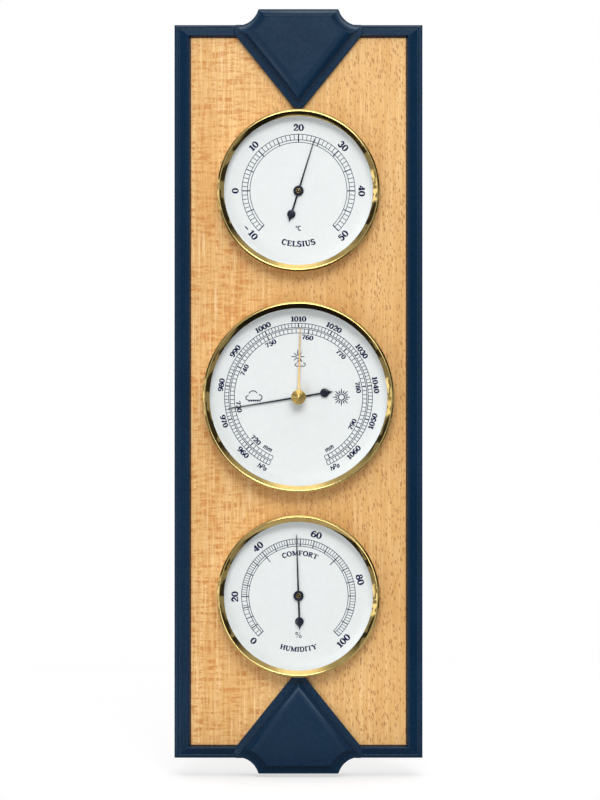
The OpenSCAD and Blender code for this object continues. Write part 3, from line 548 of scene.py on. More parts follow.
def beech():
    """Beech veneer: quarter figure with cross bars on the left, ray flecks on the right."""
    s = Shading("beech_veneer")
    h = look().housing
    light, dark, figure = tuple(h.beech_light), tuple(h.beech_dark), tuple(h.figure)
    x, _, z = s.axes()
    side = s.ramp(s.plus(x, s.times(s.noise((0.02, 0.02, 0.012)), 24.0)), -16.0, 14.0)
    left = s.minus(1.0, side)
    # long stripes along the grain
    broad = s.noise((0.07, 1, 0.004), 3, 0.55, (4, 0, 0))
    stripe = s.noise((0.62, 1, 0.010), 2, 0.6)
    thread = s.noise((1.9, 1, 0.045), 2, 0.6, (0, 0, 7))
    tone = s.plus(s.times(broad, 0.45), s.times(stripe, 0.55))
    color = s.mix(s.ramp(tone, 0.39, 0.61), light, dark)
    color = s.mix(s.ramp(thread, 0.47, 0.58, 0, 0.85), color, dark)
    # painted shade: the middle of the board is darkened where the frame and the barometer's bezel
    # shade it; its right side is a little deeper in tone
    board_middle = -157.0
    middle = s.ramp(s.size(s.minus(z, board_middle)), 10.0, 150.0, 0.30, 0.0)
    color = s.mix(middle, color, (0.66, 0.35, 0.10))
    color = s.mix(s.times(side, 0.22), color, (0.70, 0.38, 0.12))
    # cross bars on the quarter-cut left, broken up by the stripes, and a finer weft everywhere
    bars = s.ramp(s.noise((0.075, 1, 0.42), 2, 0.55, (3, 0, 1), 0.3), 0.52, 0.62)
    broken = s.ramp(s.noise((0.72, 1, 0.06), 2, 0.6, (5, 0, 4)), 0.42, 0.56, 0.2, 1.0)
    bars = s.times(s.times(bars, broken), left)
    color = s.mix(s.times(bars, 0.95), color, figure)
    weft = s.ramp(s.noise((0.15, 1, 0.62), 2, 0.6, (8, 0, 5), 0.2), 0.48, 0.59)
    weft = s.times(s.times(weft, broken), s.ramp(side, 0, 1, 1.0, 0.15))
    color = s.mix(s.times(weft, 0.72), color, figure)
    pale = s.ramp(s.noise((0.70, 1, 0.03), 2, 0.5, (2, 0, 9)), 0.56, 0.68)
    color = s.mix(s.times(pale, s.ramp(side, 0, 1, 0.5, 0.25)), color, (0.94, 0.68, 0.36))
    # ray flecks along the grain, leaning a little
    bend = s.times(s.noise((0.05, 1, 0.03)), 3.0)
    across = s.plus(s.plus(x, bend), s.times(z, 0.10))
    leaning = s.node("ShaderNodeCombineXYZ", {0: across, 1: 0.0, 2: z}).outputs[0]

    def flecks(width, length, size, shift):
        near, tint = s.cells(s.node("ShaderNodeMapping", {
            "Vector": leaning, "Scale": (1 / width, 1, 1 / length),
            "Location": (shift, 0, shift)}).outputs[0])
        chance = s.node("ShaderNodeSeparateColor", {0: tint}).outputs[0]
        reach = s.ramp(chance, 0.0, 1.0, 0.0, size, smooth=False)
        return s.ramp(s.minus(near, reach), 0.02, -0.10)

    many = s.greater(flecks(1.0, 3.6, 0.46, 3.3), flecks(0.8, 2.7, 0.42, 8.1))
    flecked = s.times(many, s.ramp(side, 0, 1, 0.25, 0.9))
    color = s.mix(flecked, color, tuple(h.fleck))
    # painted shade: a near-black line on the veneer along the rails' inner edges, standing for the
    # shadow in the gap where the lacquer meets the veneer
    half = (FRAME_HIGH[0] - FRAME_LOW[0]) / 2 - SIDE_RAIL_W
    tall = (FRAME_HIGH[1] - FRAME_LOW[1]) / 2 - END_RAIL_W
    level = (FRAME_HIGH[1] + FRAME_LOW[1]) / 2
    gap_x = s.minus(half, s.size(x))
    gap_z = s.minus(tall, s.size(s.minus(z, level)))
    rim = s.ramp(s.maths("MINIMUM", gap_x, gap_z), 0.5, 0.95, 1.0, 0.0)
    color = s.mix(rim, color, (0.004, 0.007, 0.012))
    height = s.minus(s.times(thread, 0.4), s.times(flecked, 0.8))
    s.set(
        color=color, roughness=s.over_noise(stripe, 0.42, 0.56), specular=0.35,
        coat=0.06, coat_roughness=0.35, normal=s.bump(height, 0.25, 0.03))
    return s.material


TARNISHED = (0.62, 0.42, 0.13)


def polished_brass():
    """Spun and polished brass, a little wavy, with faint turning lines and tarnish."""
    s = Shading("polished_brass")
    tarnish = s.noise(0.12, 4, 0.65)
    ripple = s.bump(s.noise((0.10, 0.10, 0.05), 1, 0.4), 0.10, 0.5)
    s.set(
        color=s.mix(s.ramp(tarnish, 0.45, 0.75, 0, 0.5), tuple(look().metal.brass), TARNISHED),
        metallic=1.0, roughness=s.ramp(tarnish, 0.35, 0.75, 0.03, 0.09),
        normal=s.bump(s.noise(3.5), 0.02, 0.01, ripple))
    return s.material


def aged_brass():
    """Browned brass of the pointers' caps, with a painted highlight at the centre ringed by a
    painted dark reflection.
    """
    s = Shading("aged_brass")
    stain = s.noise(1.6, 3, 0.6)
    radius = s.radius()
    brass = s.mottle(stain, (0.36, 0.27, 0.10), (0.24, 0.17, 0.06))
    # painted dark reflection: near black from the middle out to 0.82 mm, fading to brass by 0.95 mm
    color = s.mix(s.ramp(radius, 0.82, 0.95), (0.012, 0.012, 0.012), brass)
    # painted highlight: a pale dot within 0.26 mm of the centre, fading out by 0.4 mm
    color = s.mix(s.ramp(radius, 0.26, 0.40, 1.0, 0.0), color, (0.62, 0.60, 0.50))
    s.set(color=color, metallic=1.0, roughness=s.over_noise(stain, 0.22, 0.34),
          normal=s.bump(stain, 0.05, 0.01))
    return s.material


def turned_brass():
    """Brass faced on a lathe: fine rings that spread the light into spokes."""
    s = Shading("turned_brass")
    rings = s.maths("SINE", s.times(s.radius(), 52.0))
    stain = s.ramp(s.noise(0.6, 3), 0.35, 0.7, 0, 0.6)
    s.set(
        color=s.mix(stain, (0.86, 0.62, 0.22), TARNISHED), metallic=1.0, roughness=0.26,
        anisotropic=0.8, spin=0.25,
        tangent=s.node("ShaderNodeTangent", direction_type="RADIAL", axis="Z").outputs[0],
        normal=s.bump(rings, 0.10, 0.01))
    return s.material


def drawn_brass():
    """Brushed brass of the set hand and the movement."""
    s = Shading("drawn_brass")
    brush = s.noise((0.6, 9.0, 0.6))
    base = s.mix(s.ramp(brush, 0.35, 0.7, 0, 0.6), (0.82, 0.54, 0.22), (0.68, 0.42, 0.15))
    s.set(color=base, metallic=1.0, roughness=s.over_noise(brush, 0.22, 0.38),
          normal=s.bump(brush, 0.06, 0.01))
    return s.material


def steel():
    """Zinc-plated steel with a soft spangle."""
    s = Shading("plated_steel")
    spangle = s.cells(s.stretched(0.5))[0]
    brush = s.noise((6.0, 0.4, 0.4))
    base = s.mix(s.ramp(spangle, 0.1, 0.8), (0.52, 0.53, 0.55), (0.68, 0.69, 0.70))
    s.set(color=base, metallic=1.0, roughness=s.over_noise(brush, 0.26, 0.44),
          normal=s.bump(brush, 0.05, 0.01))
    return s.material


def two_tone(name, tones, tone_noise, roughness, bump=None, grain_noise=None, **more):
    """Two tones mottled by one noise. Roughness and bump follow a second noise, or the same."""
    s = Shading(name)
    tone = s.noise(*tone_noise)
    grain = s.noise(*grain_noise) if grain_noise else tone
    if isinstance(roughness, tuple):
        roughness = s.over_noise(grain, *roughness)
    if bump:
        more["normal"] = s.bump(grain, *bump)
    s.set(color=s.mottle(tone, *tones), roughness=roughness, **more)
    return s.material


def capsule_metal():
    """Pale copper alloy with a dull film."""
    return two_tone(
        "capsule_alloy", ((0.60, 0.50, 0.30), (0.48, 0.37, 0.20)), (0.25, 4, 0.6), (0.24, 0.42),
        metallic=1.0)


def humidity_strip():
    """Coated metal strip of the hygrometer's coil."""
    return two_tone(
        "humidity_strip", ((0.46, 0.40, 0.28), (0.33, 0.27, 0.17)), ((0.5, 0.5, 4.0), 3, 0.6), 0.6,
        (0.2, 0.02))


def pointer_enamel():
    """Satin black enamel on the pointers."""
    return two_tone(
        "black_enamel", ((0.007, 0.010, 0.024), (0.011, 0.014, 0.030)), (3.0,), (0.20, 0.28),
        (0.06, 0.01), specular=0.25)


def moulded_black():
    """Finely spark-eroded black plastic of the cases."""
    return two_tone(
        "black_plastic", ((0.022, 0.022, 0.024), (0.034, 0.034, 0.037)), (0.08, 3, 0.6),
        (0.48, 0.66), (0.35, 0.04), (5.0, 3, 0.6))


def white_plastic():
    """White ring between dial and glass."""
    return two_tone(
        "white_plastic", ((0.74, 0.76, 0.77), (0.80, 0.82, 0.83)), (0.2, 3), 0.45,
        (0.06, 0.01), (4.0,))


def rubber():
    """Soft black rubber of the wall bumpers."""
    return two_tone(
        "pad_rubber", ((0.045, 0.045, 0.047), (0.075, 0.075, 0.078)), (3.0, 3, 0.6), 0.8,
        (0.3, 0.03))


def dial_enamel():
    """White dial enamel with a very faint mottle."""
    s = Shading("dial_enamel")
    mottle = s.noise(0.35, 4, 0.6)
    face = tuple(look().dial.face)
    s.set(color=s.mottle(mottle, face, tuple(c * 0.975 for c in face)),
          roughness=s.over_noise(mottle, 0.42, 0.52), specular=0.35,
          normal=s.bump(s.noise(5.0), 0.04, 0.01))
    return s.material


def dial_ink():
    """Navy printing ink with slightly uneven cover."""
    s = Shading("dial_ink")
    cover = s.ramp(s.noise(2.5, 3, 0.6), 0.4, 0.8, 0, 0.7)
    ink = tuple(look().dial.ink)
    s.set(color=s.mix(cover, ink, tuple(c + 0.012 for c in ink)), roughness=0.35, specular=0.1)
    return s.material


def fibreboard():
    """Fibreboard: fine fibres and a few darker chips."""
    s = Shading("fibreboard")
    fibre = s.noise(0.9, 5, 0.75, distortion=0.6)
    chips = s.ramp(s.cells(s.stretched(0.45))[0], 0.12, 0.03, 0, 0.5)
    base = s.mottle(fibre, (0.36, 0.245, 0.145), (0.50, 0.36, 0.225))
    s.set(color=s.mix(chips, base, (0.20, 0.125, 0.07)),
          roughness=0.85, specular=0.2, normal=s.bump(fibre, 0.4, 0.05))
    return s.material


# A little under real glass, so that stray reflections don't veil the print in slanting views
GLASS_IOR = 1.3


def clear_glass():
    """Window glass that lets lamp light through to the dial."""
    s = Shading("clear_glass")
    s.set(color=(0.985, 0.995, 0.99), roughness=0.0, ior=GLASS_IOR, transmission=1.0)
    clear = s.node("ShaderNodeBsdfTransparent", {"Color": (0.98, 0.985, 0.98, 1)})
    ray = s.node("ShaderNodeLightPath").outputs
    passing = s.greater(
        s.greater(ray["Is Shadow Ray"], ray["Is Diffuse Ray"]), ray["Is Glossy Ray"])
    s.finish_with(s.node(
        "ShaderNodeMixShader", {0: passing, 1: s.bsdf.outputs[0], 2: clear.outputs[0]}))
    return s.material


# ---------------------------------------------------------------- rails and keystones

# The rails' moulding from outside in: a fillet lower than the top, a quirk, a bead up to the top
RAIL_FILLET_DROP = 1.1
RAIL_EDGE = 0.75
RAIL_QUIRK = 0.3
RAIL_QUIRK_AT = 0.26
RAIL_BEAD_AT = 0.34
RAIL_BEAD_SHARE = 0.515
RAIL_INNER_SHARE = 0.14
RAIL_INNER_DROP = 1.6
REBATE = 2.5
# How far a cutter reaches past what it cuts
PAST = 5


def rail_profile(w):
    """The moulding of a rail as (share of its width, height)."""
    top = FRAME_HIGH[2]
    fillet = top - RAIL_FILLET_DROP
    soft = look().housing.edge_round
    quirk = fillet - RAIL_QUIRK
    outer = [(0, 0), (0, fillet - RAIL_EDGE)]
    outer += arc_points(RAIL_EDGE, fillet - RAIL_EDGE, RAIL_EDGE, RAIL_EDGE, 180, 90, 6)[1:]
    step = [
        (RAIL_QUIRK_AT * w, fillet), ((RAIL_QUIRK_AT + 0.01) * w, quirk), (RAIL_BEAD_AT * w, quirk)]
    bead = [
        ((RAIL_BEAD_AT + RAIL_BEAD_SHARE * i / 16) * w,
         quirk + (RAIL_FILLET_DROP + RAIL_QUIRK) * i / 16)
        for i in range(1, 17)
    ]
    inner = arc_points(
        (1 - RAIL_INNER_SHARE) * w, top - RAIL_INNER_DROP, RAIL_INNER_SHARE * w, RAIL_INNER_DROP,
        90, 0, 10)
    hollow = soften([outer[-1], *step, bead[0]], soft)[1:]
    back = [(w, VENEER_FRONT), (w - REBATE, VENEER_FRONT), (w - REBATE, 0)]
    return [(u / w, z) for u, z in outer + hollow + bead[1:] + inner + back]


def mitred_rail(start, along, inward, length, w, other_w):
    """A rail that runs from start, both ends cut on the mitre."""
    rings = [[], []]
    for share, z in rail_profile(w):
        for ring, at in ((rings[0], share * other_w), (rings[1], length - share * other_w)):
            ring.append((
                start[0] + along[0] * at + inward[0] * share * w,
                start[1] + along[1] * at + inward[1] * share * w, z))
    return loft(rings)


# The keystone's block in its own plane: straight end at y = 0, point towards -y
KEY_END_W = 42.0
KEY_BLOCK_W = 65.4
KEY_SHOULDER = 8.6
KEY_LENGTH = 49.2
KEY_COVE_R = 11.5
KEY_TIP_ROUND = 2.0
KEY_SIDE_ROUND = 1.5
KEY_END_ROUND = 0.8
KEY_BLOCK_T = 4.2
# its base, which stands past the block inside the frame
KEY_MARGIN = 3.4
KEY_BASE_ROUND = 4.3
KEY_BASE_IN = 3.1
KEY_BASE_T = 3.4
KEY_BASE_EDGE = 0.45
KEY_OVERHANG = 8.0
# widths of the mouldings round the raised panel, and the lip outside them
KEY_SIDE_BAND = 6.5
KEY_END_BAND = 4.2
KEY_COVE_BAND = 5.4
KEY_LIP = 0.4
KEY_LIP_UP = 0.28
# how deep the block sinks into the base, and the air beside the bezel
KEY_SUNK = 0.15
KEY_CLEAR = 0.25
KEY_RISE = (KEY_LENGTH - KEY_SHOULDER) / (KEY_BLOCK_W / 2)
KEY_STEEP = math.sqrt(1 + KEY_RISE ** 2)


def cove_centre():
    """The centre of the round hollow beside the straight end, on the right."""
    corner, end = Vector((KEY_BLOCK_W / 2, -KEY_SHOULDER)), Vector((KEY_END_W / 2, 0))
    chord = corner - end
    out = Vector((-chord.y, chord.x)).normalized()
    return (corner + end) / 2 + out * math.sqrt(KEY_COVE_R ** 2 - (chord.length / 2) ** 2)


def corner_round(centre, r, start, end, steps):
    """The short way round a convex corner, between two directions."""
    a0 = math.atan2(start[1], start[0])
    a1 = math.atan2(end[1], end[0])
    turn = (a1 - a0 + math.pi) % math.tau - math.pi
    angles = [a0 + turn * i / steps for i in range(steps + 1)]
    return [(centre[0] + r * math.cos(a), centre[1] + r * math.sin(a)) for a in angles]


def end_corner(c):
    """The centre of the small round where the straight end meets the hollow round c."""
    r = KEY_END_ROUND
    return Vector((c.x - math.sqrt((KEY_COVE_R + r) ** 2 - (c.y + r) ** 2), -r))


def key_block_outline():
    """The block's outline, anticlockwise from its point, every corner rounded."""
    c = cove_centre()
    tip = (0, -KEY_LENGTH + KEY_TIP_ROUND * KEY_STEEP)
    r = KEY_SIDE_ROUND
    low = -KEY_LENGTH + r * KEY_STEEP
    a = KEY_STEEP ** 2
    b = KEY_RISE * (low - c.y) - c.x
    k = c.x ** 2 + (low - c.y) ** 2 - (KEY_COVE_R + r) ** 2
    x = (-b - math.sqrt(b * b - a * k)) / a
    side = Vector((x, low + KEY_RISE * x))
    end = end_corner(c)
    right = corner_round(tip, KEY_TIP_ROUND, (0, -1), (KEY_RISE, -1), 6)
    right += corner_round(side, KEY_SIDE_ROUND, (KEY_RISE, -1), c - side, 12)
    right += corner_round(c, KEY_COVE_R, side - c, end - c, 24)[1:-1]
    right += corner_round(end, KEY_END_ROUND, c - end, (0, 1), 6)
    return mirrored(right)


def key_base_outline():
    """The base: the block's own outline past the frame, a rounded margin inside it."""
    c = cove_centre()
    tip_y = -KEY_LENGTH + (KEY_BASE_ROUND - KEY_MARGIN) * KEY_STEEP
    corner = Vector((KEY_BLOCK_W / 2 - KEY_BASE_IN, 0))
    corner.y = tip_y + KEY_RISE * corner.x
    reach = math.asin((-KEY_OVERHANG - corner.y) / KEY_BASE_ROUND)
    start = Vector((-math.sqrt(KEY_COVE_R ** 2 - (c.y + KEY_OVERHANG) ** 2), -KEY_OVERHANG - c.y))
    end = end_corner(c)
    right = corner_round((0, tip_y), KEY_BASE_ROUND, (0, -1), (KEY_RISE, -1), 8)
    right += corner_round(
        corner, KEY_BASE_ROUND, (KEY_RISE, -1), (math.cos(reach), math.sin(reach)), 12)
    right += corner_round(c, KEY_COVE_R, start, end - c, 20)[:-1]
    right += corner_round(end, KEY_END_ROUND, c - end, (0, 1), 6)
    return mirrored(right)


def side_cut():
    """What the moulding of a long side takes off: a lip, then one round up to the panel."""
    lip, top, high = KEY_LIP_UP * KEY_BLOCK_T, KEY_BLOCK_T + 1, 0.99 * KEY_BLOCK_T
    bead = arc_points(KEY_SIDE_BAND, lip, KEY_SIDE_BAND - KEY_LIP, high - lip, 180, 90, 28)
    return [(-1, top), (-1, lip), *bead, (KEY_SIDE_BAND, top)]


def hollow_cut(band):
    """The same at the straight end and the hollows: a lip, then a hollow up to the panel."""
    lip, top, turn = KEY_LIP_UP * KEY_BLOCK_T, KEY_BLOCK_T + 1, math.radians(72)
    points = [(-1, top), (-1, lip), (KEY_LIP, lip)]
    for i in range(1, 17):
        a = turn * i / 16
        points.append((
            KEY_LIP + (band - KEY_LIP) * math.sin(a) / math.sin(turn),
            lip + (KEY_BLOCK_T - lip) * (1 - math.cos(a)) / (1 - math.cos(turn))))
    return points + [(band, top)]


def swept(profile, start, along, inward, length, z0):
    """A profile of (distance inwards, height) run straight from a point."""
    return loft([
        [(start[0] + along[0] * at + inward[0] * u,
          start[1] + along[1] * at + inward[1] * u, z0 + v) for u, v in profile]
        for at in (0, length)
    ])


def keystone_cuts(z0):
    """The cutters that shape the block's mouldings, each with its centre."""
    end_cut = swept(
        hollow_cut(KEY_END_BAND), (-KEY_BLOCK_W, 0), (1, 0), (0, -1), 2 * KEY_BLOCK_W, z0)
    cuts = [(end_cut, (0, 0))]
    c = cove_centre()
    cove = [(KEY_COVE_R + u, z0 + v) for u, v in hollow_cut(KEY_COVE_BAND)]
    for side in (-1, 1):
        along = (side / KEY_STEEP, KEY_RISE / KEY_STEEP)
        inward = (-side * KEY_RISE / KEY_STEEP, 1 / KEY_STEEP)
        start = (-along[0] * KEY_LENGTH, -KEY_LENGTH - along[1] * KEY_LENGTH)
        cuts.append((swept(side_cut(), start, along, inward, 3 * KEY_LENGTH, z0), (0, 0)))
        cuts.append((lathe(cove, 288), (side * c.x, c.y)))
    return cuts


def turned_over(shape):
    """A shape mirrored top to bottom."""
    made = Shape()
    made.add([(x, -y, z) for x, y, z in shape.verts], [tuple(reversed(f)) for f in shape.faces])
    return made


class WEATHER_OT_rails(bpy.types.Operator):
    """Make the four moulded frame rails, mitred at the corners"""

    bl_idname = "weather_station.rails"
    bl_label = "Frame rails"

    def execute(self, context):
        w, h = FRAME_HIGH[0] - FRAME_LOW[0], FRAME_HIGH[1] - FRAME_LOW[1]
        left, right, low, high = FRAME_LOW[0], FRAME_HIGH[0], FRAME_LOW[1], FRAME_HIGH[1]
        paint = lacquer()
        seat = key_base_outline()
        for node, start, along, inward, length, own, other in (
            ("left_rail", (left, low), (0, 1), (1, 0), h, SIDE_RAIL_W, END_RAIL_W),
            ("right_rail", (right, low), (0, 1), (-1, 0), h, SIDE_RAIL_W, END_RAIL_W),
            ("top_rail", (left, high), (1, 0), (0, -1), w, END_RAIL_W, SIDE_RAIL_W),
            ("bottom_rail", (left, low), (1, 0), (0, 1), w, END_RAIL_W, SIDE_RAIL_W),
        ):
            rail = make_object(
                node + "_moulding", mitred_rail(start, along, inward, length, own, other),
                material=paint, nodes=[node])
            for seated, way, end in (
                ("top_rail", 1, KEY_TOP_END), ("bottom_rail", -1, KEY_BOTTOM_END),
            ):
                if node == seated:
                    cut_away(rail, loft([
                        [(x, way * y + end, z) for x, y in seat]
                        for z in (VENEER_FRONT, FRAME_HIGH[2] + PAST)]))
        return {"FINISHED"}


class WEATHER_OT_keystones(bpy.types.Operator):
    """Make the two moulded keystones, cut clear of the bezel beside them"""

    bl_idname = "weather_station.keystones"
    bl_label = "Keystones"

    def execute(self, context):
        paint = lacquer()
        top_of_base = VENEER_FRONT + KEY_BASE_T
        for node, end, turned, neighbour in (
            ("top_keystone", KEY_TOP_END, False, "thermometer_bezel"),
            ("bottom_keystone", KEY_BOTTOM_END, True, "hygrometer_bezel"),
        ):
            way = turned_over if turned else (lambda shape: shape)
            base = plate(key_base_outline(), VENEER_FRONT, top_of_base, KEY_BASE_EDGE, 4)
            block = plate(key_block_outline(), top_of_base - KEY_SUNK, top_of_base + KEY_BLOCK_T)
            key = make_object(
                node + "_moulding", way(block), (0, end), paint, [node])
            for cutter, at in keystone_cuts(top_of_base):
                cut_away(key, way(cutter), (at[0], end - at[1] if turned else end + at[1]))
            clear = drill(half_width(neighbour) + KEY_CLEAR, 192)
            foot = make_object(node + "_foot", way(base), (0, end), paint, body=None)
            for piece in (key, foot):
                cut_away(piece, clear, centre_of(neighbour))
            join(key, foot)
        return {"FINISHED"}


class WEATHER_OT_board(bpy.types.Operator):
    """Finish the beech veneer, the board behind it and the pieces on its back"""

    bl_idname = "weather_station.board"
    bl_label = "Board and back"

    def execute(self, context):
        finish_node("beech_veneer", beech())
        finish_node("board_core", fibreboard())
        metal = steel()
        for node in ("keystone_screws", "hanger_plate", "hanger_screws"):
            finish_node(node, metal)
        finish_node("wall_bumpers", rubber())
        return {"FINISHED"}


# ---------------------------------------------------------------- bezels and glasses


def bezel_profile(r, crest, glass_front):
    """Steep outside, sloping shoulder, narrow crest, a funnel down to the glass, folded foot."""
    flange = VENEER_FRONT + 0.5
    lip_r, inner_r, outer_r = r - 3.6, r - 1.35, r - 0.88
    outside = [(r, VENEER_FRONT + 0.12), (r, crest - 1.2)]
    shoulder = arc_points(r - 0.55, crest - 0.97, 0.55, 0.55, 0, 56, 10)
    shoulder += [(r - 0.56, crest - 0.28), (outer_r, crest - 0.09)]
    top = arc_points((inner_r + outer_r) / 2, crest - 0.55, 0.55, 0.55, 68, 118, 10)
    funnel = [
        (inner_r - s * (inner_r - lip_r), crest - 0.12 - 1.5 * (1.06 * s - 0.06 * s * s))
        for s in (i / 16 for i in range(17))
    ]
    seat = glass_front + 0.02
    lip = [(lip_r, glass_front + 0.3), (lip_r + 0.1, seat), (lip_r + 0.9, seat)]
    under = [
        (inner_r, crest - 1.3), (r - 0.5, crest - 1.7), (r - 0.5, flange), (r - 2.3, flange),
        (r - 2.3, VENEER_FRONT), (r - 0.12, VENEER_FRONT)]
    return outside + shoulder + top + funnel + lip + under


class WEATHER_OT_bezels(bpy.types.Operator):
    """Make the three spun brass bezels and finish the glasses and spacer rings"""

    bl_idname = "weather_station.bezels"
    bl_label = "Bezels and glasses"

    def execute(self, context):
        brass, pane, ring = polished_brass(), clear_glass(), white_plastic()
        for name in INSTRUMENTS:
            profile = bezel_profile(
                half_width(name + "_bezel"), extent(name + "_bezel")[1][2],
                extent(name + "_glass")[1][2])
            make_object(
                name + "_bezel_spun", lathe(profile, look().metal.steps),
                centre_of(name + "_bezel"), brass, [name + "_bezel"],
                sharp=50)
            finish_node(name + "_glass", pane)
            finish_node(name + "_spacer_ring", ring)
        return {"FINISHED"}


# ---------------------------------------------------------------- printed dials

# Strokes as (points, width at each point, closed), for a character one unit high
THICK = 0.27
THIN = 0.14
WIDE = 1.32
FOOT = THIN / 2
HEAD = 1 - THIN / 2


def line(x0, y0, x1, y1, w=THIN, w1=None):
    return [(x0, y0), (x1, y1)], [w, w if w1 is None else w1], False


def stem(x, w=THICK, foot=0):
    return line(x, foot, x, 1, w)


def bow(cx, cy, rx, ry, a0, a1, w_end=THIN, w_mid=THICK, w_last=None):
    """An open curve, thin at its ends and thick in its middle."""
    n = 14
    last = w_end if w_last is None else w_last
    widths = [
        w_end + (last - w_end) * i / n + (w_mid - (w_end + last) / 2) * math.sin(math.pi * i / n)
        for i in range(n + 1)
    ]
    return arc_points(cx, cy, rx, ry, a0, a1, n), widths, False


def ring(cx, cy, rx, ry, thick=THICK, thin=THIN):
    """A closed curve, thick at its sides and thin at its top and foot."""
    n = 26
    points = arc_points(cx, cy, rx, ry, 0, 360, n)[:-1]
    widths = [thin + (thick - thin) * abs(math.cos(math.tau * i / n)) ** 1.4 for i in range(n)]
    return points, widths, True


def ball(x, y, r):
    points = arc_points(x, y, r / 2, r / 2, 0, 360, 10)[:-1]
    return points, [r * 0.98] * len(points), True


def serifs(y, *spans):
    return [line(a, y, b, y) for a, b in spans]


